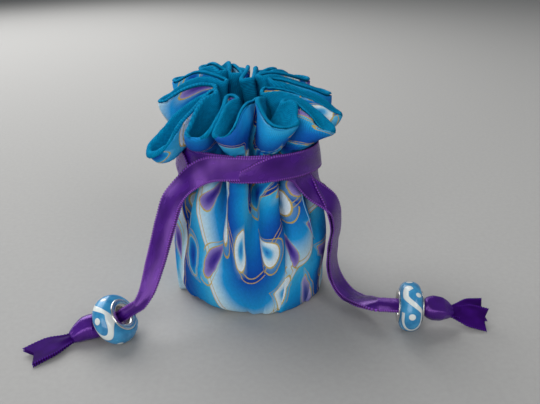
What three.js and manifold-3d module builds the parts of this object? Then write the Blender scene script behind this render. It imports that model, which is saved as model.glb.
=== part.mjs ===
// Drawstring jewelry pouch: a round of printed cotton with a plain lining, gathered at the neck by two
// satin ribbons, each led through a large-hole glass bead and ended by a knot with two tails.
// Millimetres, +Z up. The origin is the middle of the base on the table, and -Y is the front.
// Angles go round from the front (0) by the right side (90) to the back (180).
import * as THREE from 'three';
import { mergeVertices } from 'three/addons/utils/BufferGeometryUtils.js';
import Module from 'manifold-3d';

const wasm = await Module();
wasm.setup();

// Clearance between pieces that touch, and the distance within which points of one piece are welded
const CLEARANCE = 0.3;
const WELD_DISTANCE = 1e-4;

// Cloth: its thickness, and the profile from the flat base over the belly to the neck
const CLOTH_THICKNESS = 0.5;
const BASE_RADIUS = 17;
const BELLY_RADIUS = 21.2;
const BELLY_HEIGHT = 14;
const NECK_RADIUS = 17.6;
const NECK_LOW = 38.8;
const NECK_HIGH = 46;
const NECK_TILT = 1.6;
const SHOULDER_FULLNESS = 1.8;
const FOLD_GROWTH = 1.5;
const BELLY_FOLD_SHARE = 0.08;
const VALLEY_HALF_WIDTH = 1.1;
const RIM_VALLEY_HALF_WIDTH = 1.5;
const LOW_VALLEY_HALF_WIDTH = 1.7;
const GATHER_FILL = 0.29;
const RUFFLE_FLARE = 0.75;
const RUFFLE_LAG = 1.35;
const RUFFLE_PUFF = 1.2;
const RUFFLE_ARCH = 1.4;
const MOUTH_LAG = 1.4;

// Ribbon: satin of standard width, bunched where it runs through a bead
const RIBBON_WIDTH = 6.35;
const RIBBON_THICKNESS = 0.5;
const BUNCH_WIDTH = 3.6;
const BUNCH_THICKNESS = 0.9;
const BUNCH_LEAD = 1;
const TAIL_LENGTH = 11.5;
const TAIL_NOTCH = 2;
const TAIL_ROOT_WIDTH = 2.2;
const KNOT_RADIUS = 3.2;
const KNOT_NECK_RADIUS = 2;
const KNOT_PINCH_RADIUS = 1.45;
const KNOT_TAPER = 0.8;
const KNOT_SIDES = 10;
const TAIL_FLARE_SHARE = 0.45;
const STEPS_BETWEEN_STATIONS = 2;

// Bead: a glass ring on a flared metal core. The glass's rounding is given as shares of the way from the
// bore out to the crown and of the half width, and the flange's as shares of its own overhang and thickness.
const GLASS_ROUNDING = [[0.4, 1], [0.78, 0.79], [0.95, 0.42]];
const GLASS_BORE_CHAMFER = 0.88;
const FLANGE_ROUNDING = 0.6;
const BORE_ROUNDING = 0.7;
const GLASS_RADIUS = 6.6;
const GLASS_HALF_WIDTH = 2.8;
const CORE_BORE_RADIUS = 2.5;
const CORE_WALL = 0.35;
const FLANGE_RADIUS = 4.3;
const FLANGE_THICKNESS = 0.4;
const BEAD_PLAY = 0.1;
const BEAD_TRAVEL = 5;
const BEAD_SIDES = 22;

// Corners of the base: the angle, and how far it reaches there beyond its mean radius
const BASE_CORNERS = [
  [-91, 4.2], [-50, -1.2], [-12, -1.8], [35, 1.4], [84, 3.6], [130, 1], [180, 0], [225, 1], [269, 4.2],
];

// Gathers in order round the pouch. Each has an outward fold, its tip, and the valley that follows it.
// At the neck: the tip's and the valley's angle, the valley's radius, how soon it fades below the neck, and
// how far round it drifts on its way down.
// At the rim: the tip's angle, flare beyond the neck's radius, height above the neck and half width, and
// the rise of its curl and its sag on the way there; then the valley's angle, radius and height above
// the neck.
const GATHERS = [
  { neck: [-68, -55, 9.2, 1.3, 0], tip: [-66, 9.4, -0.8, 3.4, 2.8, 4.3], valley: [-60, 10.5, 14.2] },
  { neck: [-40, -22, 9, 1, 0], tip: [-36, 5.4, 4.6, 3.4, 1.8, 2], valley: [-40, 6.8, 13.2] },
  { neck: [-9, 5, 8.8, 0.55, 3.5], tip: [-18, 3.6, 6, 2, 1.6, 0], valley: [18, 6.2, 12.8] },
  { neck: [20, 29, 8.8, 0.7, 2], tip: [28, 3.4, 8.8, 4.8, 1, 0], valley: [50, 11.5, 11.6] },
  { neck: [46, 60, 9, 1, 0], tip: [62, 6.6, 5.8, 3.4, 1.8, 0], valley: [66, 4.9, 13.2] },
  { neck: [75, 90, 9.2, 1.2, 0], tip: [87, 8.2, 6.6, 3.2, 2.5, 0], valley: [100, 7.4, 14.6] },
  { neck: [104, 117, 9.2, 1.2, 0], tip: [112, 6.9, 10.5, 3.6, 1.5, 0], valley: [127.5, 5.1, 15] },
  { neck: [130, 143, 9.2, 1.2, 0], tip: [137, 5.4, 12.8, 3, 1, 0], valley: [152.5, 7.6, 14.8] },
  { neck: [157, 170, 9.2, 1.2, 0], tip: [164, 4.8, 13.4, 3.4, 1, 0], valley: [180, 4.5, 14.5] },
  { neck: [184, 197, 9.2, 1.2, 0], tip: [191, 4.4, 13.8, 3, 1, 0], valley: [206, 7.6, 15.5] },
  { neck: [211, 224, 9.2, 1.2, 0], tip: [216, 5.2, 15.6, 3.6, 1, 0], valley: [229, 8.8, 16] },
  { neck: [238, 251, 9.2, 1.2, 0], tip: [241, 5.6, 12.6, 3, 1.5, 0], valley: [254, 6.1, 14.8] },
  { neck: [265, 278, 9.2, 1.2, 0], tip: [265, 5.8, 9.6, 3, 2, 0], valley: [279, 8.8, 14.2] },
];

// Points round a tip and a valley, in degrees of their arcs, and the most of a fold's depth an arc may take
const TIP_ARC = [-80, -40, 0, 40, 80];
const VALLEY_ARC = [-60, 0, 60];
const ARC_DEPTH_LIMIT = 0.45;

// Levels of the rings: turns of the base's rounding in degrees, then shares of the shoulder and the ruffle
const OUTER_BASE_TURNS = [0, 30, 60, 90];
const LINING_BASE_TURNS = [0, 60, 90];
const SHOULDER_LEVELS = [0.36, 0.7, 1];
const RUFFLE_LEVELS = [0, 0.14, 0.36, 0.68, 1];

// Beads: place on the table, axis towards the pouch, and the way the bunched ribbon faces inside
const LEFT_BEAD = { x: -34.2, y: -28.2, axis: [0.788, -0.136, 0.601], face: [0.1, -0.95, 0.2] };
const RIGHT_BEAD = { x: 42.9, y: -23.3, axis: [-0.995, 0.1, 0], face: [0, 0, 1] };

// Routes of the hanging ribbons from bead to neck, as points and the way the ribbon faces there
const LEFT_HANG = [
  { at: [-25.4, -28.3, 14.4], face: [-0.15, -0.93, 0.3] },
  { at: [-23.4, -25, 20.6], face: [-0.3, -0.9, 0.35] },
  { at: [-20.9, -20.8, 30], face: [-0.4, -0.85, 0.35] },
  { at: [-19, -18.2, 35.4], face: [-0.5, -0.8, 0.3] },
];
const RIGHT_HANG = [
  { at: [31.2, -18.8, 5.4], face: [0.1, -0.1, 1] },
  { at: [28.9, -15.2, 4.3], face: [0.3, -0.2, 0.9] },
  { at: [26.5, -12.3, 5], face: [0.6, -0.3, 0.7] },
  { at: [24.4, -10.8, 8], face: [0.85, -0.4, 0.4] },
  { at: [23.2, -10.4, 13], face: [0.9, -0.42, 0.1] },
  { at: [23.4, -10.2, 18.5], face: [0.9, -0.42, 0] },
  { at: [24, -9.8, 24], face: [0.9, -0.42, 0.05] },
  { at: [22.6, -10.6, 30.2], face: [0.88, -0.45, 0.15] },
];

// Turns from the hanging ribbons into the band round the neck: the angle, and the way out from the band
// and up from its middle
const LEFT_TURN_UP = [[-43.5, 3, -3], [-36, 0.8, -0.4], [-26, 0.15, 1.1]];
const LEFT_TURN_DOWN = [[290, 0.2, 0], [301, 1.1, -1.2], [309.5, 3, -3]];
const RIGHT_TURN_UP = [[54.5, 1.35, -6.4], [50, 0.12, -3.8], [43, 0.06, -0.9], [31, 0, 1]];
const RIGHT_TURN_DOWN = [[-286, -0.15, -1.2], [-291, 0.4, -5], [-294, 2.5, -7.2]];
const LEFT_BAND = { from: -13, to: 277, step: 14.5 };
const RIGHT_BAND = { from: 15, to: -275, step: -14.5 };

// Knots below the beads: middle and pinch, then where the two tails end and how far they lean, in degrees
const LEFT_KNOT = { middle: [-41.2, -28.2, 3.5], pinch: [-45.4, -30.4, 1.8] };
const RIGHT_KNOT = { middle: [49.9, -23.3, 6], pinch: [54.6, -22.2, 4.3] };
const LEFT_TAILS = { ends: [[-53.8, -37.2, 1.5], [-53, -38, 1]], lean: -10 };
const RIGHT_TAILS = { ends: [[64.7, -20.1, 3.4], [63.7, -23.8, 2.8]], lean: 40 };

const PRINTED_COTTON = new THREE.MeshStandardMaterial({ color: 0x2f8cc0, roughness: 0.85, metalness: 0 });
const TEAL_COTTON = new THREE.MeshStandardMaterial({ color: 0x0f7ea3, roughness: 0.9, metalness: 0 });
const PURPLE_SATIN = new THREE.MeshStandardMaterial({ color: 0x4a1d77, roughness: 0.4, metalness: 0 });
const BLUE_GLASS = new THREE.MeshStandardMaterial({ color: 0x3a8fc0, roughness: 0.2, metalness: 0 });
const SILVER_METAL = new THREE.MeshStandardMaterial({ color: 0xc9c9c6, roughness: 0.25, metalness: 1 });

const vector = (xyz) => new THREE.Vector3(...xyz);
const mix = (a, b, share) => a + (b - a) * share;

function polar(degrees, radius, height) {
  const angle = THREE.MathUtils.degToRad(degrees);
  return new THREE.Vector3(radius * Math.sin(angle), -radius * Math.cos(angle), height);
}

// A closed body through rings of points that run counter-clockwise seen from the last ring.
// A ring of one point is a pole, and an open end is closed by a fan about its middle.
// From the row given, the quads are split along their other diagonal.
function closedLoft(rings, otherDiagonalFrom = rings.length) {
  const ends = [rings[0], rings[rings.length - 1]].map((ring) => {
    const middle = new THREE.Vector3();
    ring.forEach((point) => middle.add(point));
    return middle.divideScalar(ring.length);
  });
  const walls = rings.filter((ring) => ring.length > 1);
  const count = walls[0].length;
  const points = [...walls.flat(), ...ends];
  const startPole = points.length - 2;
  const endPole = points.length - 1;
  const last = (walls.length - 1) * count;
  const index = [];
  for (let i = 0; i < count; i += 1) {
    const next = (i + 1) % count;
    index.push(startPole, next, i);
    for (let k = 0; k < last; k += count) {
      const [a, b, c, d] = [k + i, k + next, k + count + next, k + count + i];
      const quad = k < otherDiagonalFrom * count ? [a, b, c, a, c, d] : [a, b, d, b, c, d];
      index.push(...quad);
    }
    index.push(endPole, last + i, last + next);
  }
  const geometry = new THREE.BufferGeometry().setFromPoints(points);
  geometry.setIndex(index);
  return geometry;
}

// Joining of closed bodies into one
function solidOf(geometry) {
  const bare = geometry.clone();
  bare.deleteAttribute('normal');
  bare.deleteAttribute('uv');
  const merged = mergeVertices(bare, WELD_DISTANCE);
  const vertProperties = new Float32Array(merged.attributes.position.array);
  const triVerts = new Uint32Array(merged.index.array);
  return new wasm.Manifold(new wasm.Mesh({ numProp: 3, vertProperties, triVerts }));
}

function joined(geometries) {
  const whole = geometries.map(solidOf).reduce((sum, solid) => sum.add(solid));
  const mesh = whole.getMesh();
  const geometry = new THREE.BufferGeometry();
  geometry.setAttribute('position', new THREE.BufferAttribute(mesh.vertProperties, 3));
  geometry.setIndex(new THREE.BufferAttribute(mesh.triVerts, 1));
  return geometry;
}

// Cloth. One ring of the gathers: each tip and valley gives its angle, radius, height and half width.
// The arch lifts a fold's walls above the straight line from its tip to its valleys.
function gatherRing(tips, valleys, arch = 0) {
  const points = [];
  tips.forEach(([tipAngle, tipRadius, tipHeight, tipHalf], i) => {
    const valley = valleys[i];
    const before = valleys[(i + valleys.length - 1) % valleys.length];
    const after = tips[(i + 1) % tips.length];
    TIP_ARC.forEach((degrees) => {
      const arc = THREE.MathUtils.degToRad(degrees);
      const [, valleyRadius, valleyHeight] = degrees < 0 ? before : valley;
      const depth = tipRadius - valleyRadius;
      const fall = Math.min(tipHalf, ARC_DEPTH_LIMIT * depth) * (1 - Math.cos(arc));
      const slope = depth > 0 ? (valleyHeight - tipHeight) * (fall / depth) : 0;
      const rise = slope + arch * (1 - Math.cos(arc));
      const aside = THREE.MathUtils.radToDeg((tipHalf * Math.sin(arc)) / tipRadius);
      points.push(polar(tipAngle + aside, tipRadius - fall, tipHeight + rise));
    });
    const [valleyAngle, valleyRadius, valleyHeight, valleyHalf] = valley;
    VALLEY_ARC.forEach((degrees) => {
      const arc = THREE.MathUtils.degToRad(degrees);
      const [, outRadius, outHeight] = degrees < 0 ? tips[i] : after;
      const depth = outRadius - valleyRadius;
      const climb = Math.min(valleyHalf, ARC_DEPTH_LIMIT * depth) * (1 - Math.cos(arc));
      const rise = depth > 0 ? (outHeight - valleyHeight) * (climb / depth) : 0;
      const aside = THREE.MathUtils.radToDeg((valleyHalf * Math.sin(arc)) / valleyRadius);
      points.push(polar(valleyAngle + aside, valleyRadius + climb, valleyHeight + rise));
    });
  });
  return points;
}

const tiltAt = (degrees) => NECK_TILT * Math.cos(THREE.MathUtils.degToRad(degrees));

function tipHalfWidth(i, radius) {
  const before = i === 0 ? GATHERS[GATHERS.length - 1].neck[1] - 360 : GATHERS[i - 1].neck[1];
  return GATHER_FILL * THREE.MathUtils.degToRad(GATHERS[i].neck[1] - before) * radius;
}

// How far the base reaches beyond its mean radius at an angle, in a smooth line from corner to corner
function cornerAt(degrees) {
  const first = BASE_CORNERS[0][0];
  const turn = THREE.MathUtils.euclideanModulo(degrees - first, 360) + first;
  const next = BASE_CORNERS.findIndex(([angle]) => angle > turn);
  const [[low, near], [high, far]] = [BASE_CORNERS[next - 1], BASE_CORNERS[next]];
  return mix(near, far, THREE.MathUtils.smoothstep(turn, low, high));
}

function bodyRing(radius, height, foldShare, tiltShare, cornerShare = 0) {
  const tips = [];
  const valleys = [];
  GATHERS.forEach(({ neck: [tipAngle, neckValley, valleyRadius, fading, drift] }, i) => {
    const depth = foldShare > 0 ? (NECK_RADIUS - valleyRadius) * foldShare ** fading : 0;
    const half = mix(LOW_VALLEY_HALF_WIDTH, VALLEY_HALF_WIDTH, foldShare);
    const valleyAngle = neckValley + drift * (1 - foldShare);
    const tipReach = radius + cornerShare * cornerAt(tipAngle);
    const valleyReach = radius + cornerShare * cornerAt(valleyAngle) - depth;
    tips.push([tipAngle, tipReach, height + tiltShare * tiltAt(tipAngle), tipHalfWidth(i, tipReach)]);
    valleys.push([valleyAngle, valleyReach, height + tiltShare * tiltAt(valleyAngle), half]);
  });
  return gatherRing(tips, valleys);
}

function ruffleRing(share) {
  const bow = Math.sin(Math.PI * share);
  const tips = [];
  const valleys = [];
  GATHERS.forEach(({ neck, tip, valley }, i) => {
    const [neckTip, neckValley, neckValleyRadius] = neck;
    const [tipAngle, flare, tipRise, tipHalf, curl, sag] = tip;
    const [valleyAngle, valleyRadius, valleyRise] = valley;
    tips.push([
      mix(neckTip, tipAngle, share),
      NECK_RADIUS + flare * share ** RUFFLE_FLARE + RUFFLE_PUFF * bow,
      NECK_HIGH + mix(tiltAt(neckTip), tipRise, share ** RUFFLE_LAG) + curl * bow - sag * bow ** 2,
      mix(tipHalfWidth(i, NECK_RADIUS), tipHalf, share),
    ]);
    valleys.push([
      mix(neckValley, valleyAngle, share),
      mix(neckValleyRadius, valleyRadius, share ** MOUTH_LAG),
      NECK_HIGH + mix(tiltAt(neckValley), valleyRise, share),
      mix(VALLEY_HALF_WIDTH, RIM_VALLEY_HALF_WIDTH, share),
    ]);
  });
  return gatherRing(tips, valleys, RUFFLE_ARCH * share);
}

// Rings of the surface where the two cloths meet, from the base up over the belly to the rim
function clothRings(baseTurns) {
  const floor = CLOTH_THICKNESS + CLEARANCE / 2;
  const rings = baseTurns.map((degrees) => {
    const turn = THREE.MathUtils.degToRad(degrees);
    const swell = Math.sin(turn);
    const radius = mix(BASE_RADIUS, BELLY_RADIUS, swell);
    const height = mix(floor, BELLY_HEIGHT, 1 - Math.cos(turn));
    return bodyRing(radius, height, 0, 0, 1 - swell);
  });
  SHOULDER_LEVELS.forEach((share) => {
    const narrowing = (1 + Math.cos(Math.PI * share ** SHOULDER_FULLNESS)) / 2;
    const radius = mix(NECK_RADIUS, BELLY_RADIUS, narrowing);
    const height = mix(BELLY_HEIGHT, NECK_LOW, share);
    const foldShare = mix(BELLY_FOLD_SHARE, 1, share ** FOLD_GROWTH);
    rings.push(bodyRing(radius, height, foldShare, share ** 2));
  });
  RUFFLE_LEVELS.forEach((share) => rings.push(ruffleRing(share)));
  return rings;
}

// The rings moved out along the surface's normal
function offsetRings(rings, distance) {
  const top = rings.length - 1;
  return rings.map((ring, k) => ring.map((point, i) => {
    const count = ring.length;
    const along = ring[(i + 1) % count].clone().sub(ring[(i + count - 1) % count]);
    const below = k > 0 ? rings[k - 1][i] : new THREE.Vector3(0, 0, point.z);
    const up = rings[Math.min(k + 1, top)][i].clone().sub(below);
    const normal = k > 0 ? along.cross(up).normalize() : new THREE.Vector3(0, 0, -1);
    return point.clone().addScaledVector(normal, distance);
  }));
}

// A cloth is a shell between two offsets of the meeting surface, open at the rim. Its inside runs down,
// so the other diagonal keeps the facets of both sides alike.
function clothShell(rings, inner, outer) {
  const outside = offsetRings(rings, outer);
  const inside = offsetRings(rings, inner).reverse();
  const floor = rings[0][0].z;
  const outerPole = [new THREE.Vector3(0, 0, floor - outer)];
  const innerPole = [new THREE.Vector3(0, 0, floor - inner)];
  return closedLoft([outerPole, ...outside, ...inside, innerPole], rings.length);
}

function outerCloth() {
  return clothShell(clothRings(OUTER_BASE_TURNS), CLEARANCE / 2, CLEARANCE / 2 + CLOTH_THICKNESS);
}

function liningCloth() {
  return clothShell(clothRings(LINING_BASE_TURNS), -CLEARANCE / 2 - CLOTH_THICKNESS, -CLEARANCE / 2);
}

// Beads, as profiles of radius and height about the core's axis
const tubeRadius = CORE_BORE_RADIUS + CORE_WALL;
const glassBore = tubeRadius + BEAD_PLAY;
const flangeFace = GLASS_HALF_WIDTH + BEAD_PLAY;
const coreHalf = flangeFace + FLANGE_THICKNESS;

const glassOuterHalf = GLASS_ROUNDING.map(
  ([out, up]) => [mix(glassBore, GLASS_RADIUS, out), GLASS_HALF_WIDTH * up],
);

function mirroredProfile(half, middle) {
  const upper = half.map(([radius, height]) => new THREE.Vector2(radius, height));
  const lower = half.map(([radius, height]) => new THREE.Vector2(radius, -height)).reverse();
  return [...lower, ...middle.map(([radius, height]) => new THREE.Vector2(radius, height)), ...upper];
}

// The profile's upper half is listed from the crown inwards, so the lathe runs up the outside
function glassRing() {
  const bore = [[glassBore, GLASS_HALF_WIDTH * GLASS_BORE_CHAMFER]];
  const half = [...[...glassOuterHalf].reverse(), ...bore];
  const profile = mirroredProfile(half, [[GLASS_RADIUS, 0]]);
  profile.push(profile[0].clone());
  return new THREE.LatheGeometry(profile, BEAD_SIDES);
}

function coreTube() {
  const half = [
    [tubeRadius, flangeFace],
    [FLANGE_RADIUS, flangeFace],
    [FLANGE_RADIUS, coreHalf - FLANGE_THICKNESS / 2],
    [mix(tubeRadius, FLANGE_RADIUS, FLANGE_ROUNDING), coreHalf],
    [mix(CORE_BORE_RADIUS, tubeRadius, BORE_ROUNDING), coreHalf],
    [CORE_BORE_RADIUS, coreHalf - FLANGE_THICKNESS / 2],
  ];
  const profile = mirroredProfile(half, []);
  profile.push(profile[0].clone());
  return new THREE.LatheGeometry(profile, BEAD_SIDES);
}

// The bead's middle lies as high as its tilted glass needs to rest on the table
function beadCentre({ x, y, axis }) {
  const lean = Math.asin(vector(axis).normalize().z);
  const reach = [[GLASS_RADIUS, 0], ...glassOuterHalf].map(
    ([radius, half]) => radius * Math.cos(lean) + half * Math.abs(Math.sin(lean)),
  );
  return new THREE.Vector3(x, y, Math.max(...reach));
}

// Drawstrings. A station of the ribbon has its place, the way it faces, its width and its thickness.
function plyStations(bead, hang, side) {
  const centre = beadCentre(bead);
  const axis = vector(bead.axis).normalize();
  const bunchStep = side * (BUNCH_THICKNESS + CLEARANCE) / 2;
  const plyStep = side * (RIBBON_THICKNESS + CLEARANCE) / 2;
  const inKnot = -(coreHalf + CLEARANCE + KNOT_NECK_RADIUS / 2);
  const straightEnd = coreHalf + BEAD_TRAVEL + CLEARANCE;
  const bunched = [inKnot, 0, coreHalf, straightEnd - BUNCH_LEAD, straightEnd].map((distance) => {
    const across = vector(bead.face).addScaledVector(axis, -vector(bead.face).dot(axis)).normalize();
    const at = centre.clone().addScaledVector(axis, distance).addScaledVector(across, bunchStep);
    return { at, face: across, width: BUNCH_WIDTH, thickness: BUNCH_THICKNESS };
  });
  const hanging = hang.map(({ at, face }) => {
    const facing = vector(face).normalize();
    const place = vector(at).addScaledVector(facing, plyStep);
    return { at: place, face: facing, width: RIBBON_WIDTH, thickness: RIBBON_THICKNESS };
  });
  return [...bunched, ...hanging];
}

const bandHeight = (NECK_LOW + NECK_HIGH) / 2;

function neckStation(degrees, radius, height) {
  const face = polar(degrees, 1, 0);
  return { at: polar(degrees, radius, height), face, width: RIBBON_WIDTH, thickness: RIBBON_THICKNESS };
}

function bandStations({ from, to, step }, radius) {
  const count = Math.round((to - from) / step);
  return Array.from({ length: count + 1 }, (_, i) => {
    const degrees = mix(from, to, i / count);
    return neckStation(degrees, radius, bandHeight + tiltAt(degrees));
  });
}

function ribbonLoft(stations) {
  const route = new THREE.CatmullRomCurve3(stations.map(({ at }) => at));
  const spans = stations.length - 1;
  const count = spans * STEPS_BETWEEN_STATIONS;
  const rings = Array.from({ length: count + 1 }, (_, i) => {
    const along = i / count;
    const span = Math.min(Math.floor(along * spans), spans - 1);
    const share = along * spans - span;
    const [here, next] = [stations[span], stations[span + 1]];
    const tangent = route.getTangent(along);
    const facing = here.face.clone().lerp(next.face, share);
    const across = facing.cross(tangent).normalize();
    const out = tangent.clone().cross(across).normalize();
    const halfWidth = mix(here.width, next.width, share) / 2;
    const halfThickness = mix(here.thickness, next.thickness, share) / 2;
    return [[1, 1], [-1, 1], [-1, -1], [1, -1]].map(([u, v]) => route.getPoint(along)
      .addScaledVector(across, u * halfWidth).addScaledVector(out, v * halfThickness));
  });
  return closedLoft(rings);
}

function knotLoft(bead, { middle, pinch }) {
  const axis = vector(bead.axis).normalize();
  const start = beadCentre(bead).addScaledVector(axis, -(coreHalf + CLEARANCE));
  const route = new THREE.CatmullRomCurve3([start, vector(middle), vector(pinch)]);
  const radii = [KNOT_NECK_RADIUS, KNOT_RADIUS, KNOT_RADIUS, KNOT_RADIUS * KNOT_TAPER, KNOT_PINCH_RADIUS];
  const rings = radii.map((radius, i) => {
    const along = i / (radii.length - 1);
    const tangent = i === 0 ? axis.clone().negate() : route.getTangent(along);
    const across = new THREE.Vector3(0, 0, 1).cross(tangent).normalize();
    const up = tangent.clone().cross(across);
    return Array.from({ length: KNOT_SIDES }, (_, j) => {
      const turn = (2 * Math.PI * j) / KNOT_SIDES;
      return route.getPoint(along).addScaledVector(across, radius * Math.cos(turn))
        .addScaledVector(up, radius * Math.sin(turn));
    });
  });
  return closedLoft(rings);
}

function tail(pinch, end, lean) {
  const half = RIBBON_WIDTH / 2;
  const root = TAIL_ROOT_WIDTH / 2;
  const flared = TAIL_LENGTH * TAIL_FLARE_SHARE;
  const outline = new THREE.Shape();
  outline.moveTo(-root, -root);
  outline.lineTo(flared, -half);
  outline.lineTo(TAIL_LENGTH, -half);
  outline.lineTo(TAIL_LENGTH - TAIL_NOTCH, 0);
  outline.lineTo(TAIL_LENGTH, half);
  outline.lineTo(flared, half);
  outline.lineTo(-root, root);
  const geometry = new THREE.ExtrudeGeometry(outline, { depth: RIBBON_THICKNESS, bevelEnabled: false });
  geometry.translate(0, 0, -RIBBON_THICKNESS / 2);
  const along = vector(end).sub(vector(pinch)).normalize();
  const level = new THREE.Vector3(0, 0, 1).cross(along).normalize();
  const across = level.applyAxisAngle(along, THREE.MathUtils.degToRad(lean));
  const basis = new THREE.Matrix4().makeBasis(along, across, along.clone().cross(across));
  return geometry.applyMatrix4(basis.setPosition(vector(pinch)));
}

function drawstring({ bead, hang, turnUp, band, bandRadius, turnDown, knot, tails }) {
  const turned = ([degrees, out, up]) => neckStation(degrees, bandRadius + out, bandHeight + up);
  const stations = [
    ...plyStations(bead, hang, 1),
    ...turnUp.map(turned),
    ...bandStations(band, bandRadius),
    ...turnDown.map(turned),
    ...plyStations(bead, hang, -1).reverse(),
  ];
  const ends = tails.ends.map((end) => tail(knot.pinch, end, tails.lean));
  return joined([ribbonLoft(stations), knotLoft(bead, knot), ...ends]);
}

// The right drawstring lies on the cloth, and the left one over it
const clothFace = NECK_RADIUS + CLEARANCE / 2 + CLOTH_THICKNESS;
const innerBandRadius = clothFace + CLEARANCE + RIBBON_THICKNESS / 2;
const outerBandRadius = innerBandRadius + RIBBON_THICKNESS + CLEARANCE;

const leftDrawstring = () => drawstring({
  bead: LEFT_BEAD,
  hang: LEFT_HANG,
  turnUp: LEFT_TURN_UP,
  band: LEFT_BAND,
  bandRadius: outerBandRadius,
  turnDown: LEFT_TURN_DOWN,
  knot: LEFT_KNOT,
  tails: LEFT_TAILS,
});

const rightDrawstring = () => drawstring({
  bead: RIGHT_BEAD,
  hang: RIGHT_HANG,
  turnUp: RIGHT_TURN_UP,
  band: RIGHT_BAND,
  bandRadius: innerBandRadius,
  turnDown: RIGHT_TURN_DOWN,
  knot: RIGHT_KNOT,
  tails: RIGHT_TAILS,
});

function piece(name, geometry, material) {
  const mesh = new THREE.Mesh(geometry, material);
  mesh.name = name;
  return mesh;
}

function beadGroup(side, bead) {
  const group = new THREE.Group();
  group.add(piece(`${side}_bead_glass`, glassRing(), BLUE_GLASS.clone()));
  group.add(piece(`${side}_bead_core`, coreTube(), SILVER_METAL.clone()));
  group.position.copy(beadCentre(bead));
  group.quaternion.setFromUnitVectors(new THREE.Vector3(0, 1, 0), vector(bead.axis).normalize());
  return group;
}

const pouch = new THREE.Group();
pouch.add(piece('outer_cloth', outerCloth(), PRINTED_COTTON));
pouch.add(piece('lining_cloth', liningCloth(), TEAL_COTTON));
pouch.add(piece('left_drawstring', leftDrawstring(), PURPLE_SATIN));
pouch.add(piece('right_drawstring', rightDrawstring(), PURPLE_SATIN.clone()));
pouch.add(beadGroup('left', LEFT_BEAD));
pouch.add(beadGroup('right', RIGHT_BEAD));

export default pouch;
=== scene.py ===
"""Drawstring jewelry pouch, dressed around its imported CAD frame.

A round of printed cotton with a plain lining is gathered at the neck by two satin ribbons. Each ribbon runs
through a glass bead on a flared metal core and ends in a knot with two notched tails.
Metres, +Z up, -Y the front. Angles go round from the front (0) by the right side (90) to the back (180).
"""
import logging
import math
from dataclasses import dataclass
from enum import Enum

import bmesh
import bpy
import numpy as np
from mathutils import Matrix, Vector, noise


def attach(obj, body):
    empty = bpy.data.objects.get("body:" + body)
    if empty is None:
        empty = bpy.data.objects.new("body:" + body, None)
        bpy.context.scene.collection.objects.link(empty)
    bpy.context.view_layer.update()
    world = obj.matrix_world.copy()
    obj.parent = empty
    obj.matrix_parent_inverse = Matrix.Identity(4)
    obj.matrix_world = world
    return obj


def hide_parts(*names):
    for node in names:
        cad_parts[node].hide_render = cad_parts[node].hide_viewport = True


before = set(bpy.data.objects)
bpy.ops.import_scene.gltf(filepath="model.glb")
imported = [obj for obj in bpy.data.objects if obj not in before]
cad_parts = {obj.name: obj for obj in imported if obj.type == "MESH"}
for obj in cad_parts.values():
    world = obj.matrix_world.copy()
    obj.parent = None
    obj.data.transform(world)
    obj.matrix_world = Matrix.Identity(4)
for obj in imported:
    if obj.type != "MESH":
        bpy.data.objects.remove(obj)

LOG = logging.getLogger("pouch")
MM = 0.001
WELD = 1e-7
TINY = 1e-12
SHORTEST = 1e-6
CLOTH_CUT = 0.158
RIBBON_WIDTH = 0.00635
RIBBON_THICKNESS = 0.00024
UP = np.array([0.0, 0.0, 1.0])
FRONT = np.array([0.0, -1.0, 0.0])


class Side(Enum):
    """Sides that the drawstrings are led to."""

    LEFT = "left"
    RIGHT = "right"


class Body(Enum):
    """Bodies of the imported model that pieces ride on."""

    POUCH = "pouch"
    LEFT_GLASS = "left_glass"
    LEFT_CORE = "left_core"
    RIGHT_GLASS = "right_glass"
    RIGHT_CORE = "right_core"


class Slot(Enum):
    """Material slots of the record."""

    PRINT = "printed_cotton"
    TEAL = "teal_cotton"
    SATIN = "purple_satin"
    GLASS = "blue_glass"
    METAL = "silver_metal"


# Small vector helpers


def mix(a: float, b: float, share: float) -> float:
    """Value a share of the way from a to b."""
    return a + (b - a) * share


def unit(vector: np.ndarray) -> np.ndarray:
    """Vectors of length one along the last axis."""
    return vector / np.maximum(np.linalg.norm(vector, axis=-1, keepdims=True), TINY)


def polar(degrees: float, radius: float, height: float) -> np.ndarray:
    """Point at an angle from the front, a radius and a height."""
    angle = math.radians(degrees)
    return np.array([radius * math.sin(angle), -radius * math.cos(angle), height])


def smooth_step(low: float, high: float, value: float) -> float:
    """Smooth rise from 0 at low to 1 at high."""
    share = min(max((value - low) / (high - low), 0.0), 1.0)
    return share * share * (3 - 2 * share)


def through(points: np.ndarray, steps: list[int], closed: bool = False) -> np.ndarray:
    """Smooth curve through points.

    Args:
        points: Points in order, one a row.
        steps: Number of steps in each span.
        closed: Whether the last point joins the first.

    Returns:
        Points of the curve, with its last point where it is open.
    """
    if closed:
        ring = np.vstack([points[-1:], points, points[:2]])
    else:
        ring = np.vstack([2 * points[:1] - points[1:2], points, 2 * points[-1:] - points[-2:-1]])
    curve = []
    for k, count in enumerate(steps):
        a, b, c, d = ring[k:k + 4]
        before, here, after = (
            max(float(np.linalg.norm(end - start)) ** 0.5, SHORTEST)
            for start, end in ((a, b), (b, c), (c, d))
        )
        leave = ((b - a) / before - (c - a) / (before + here) + (c - b) / here) * here
        arrive = ((c - b) / here - (d - b) / (here + after) + (d - c) / after) * here
        t = (np.arange(count) / count)[:, None]
        curve.append(
            (2 * t**3 - 3 * t**2 + 1) * b + (t**3 - 2 * t**2 + t) * leave
            + (3 * t**2 - 2 * t**3) * c + (t**3 - t**2) * arrive
        )
    if not closed:
        curve.append(points[-1:])
    return np.vstack(curve)


def along(points: np.ndarray) -> np.ndarray:
    """Length along a line of points, from its first."""
    steps = np.linalg.norm(np.diff(points, axis=0), axis=1)
    return np.concatenate([[0.0], np.cumsum(steps)])


# Shader expressions


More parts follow.
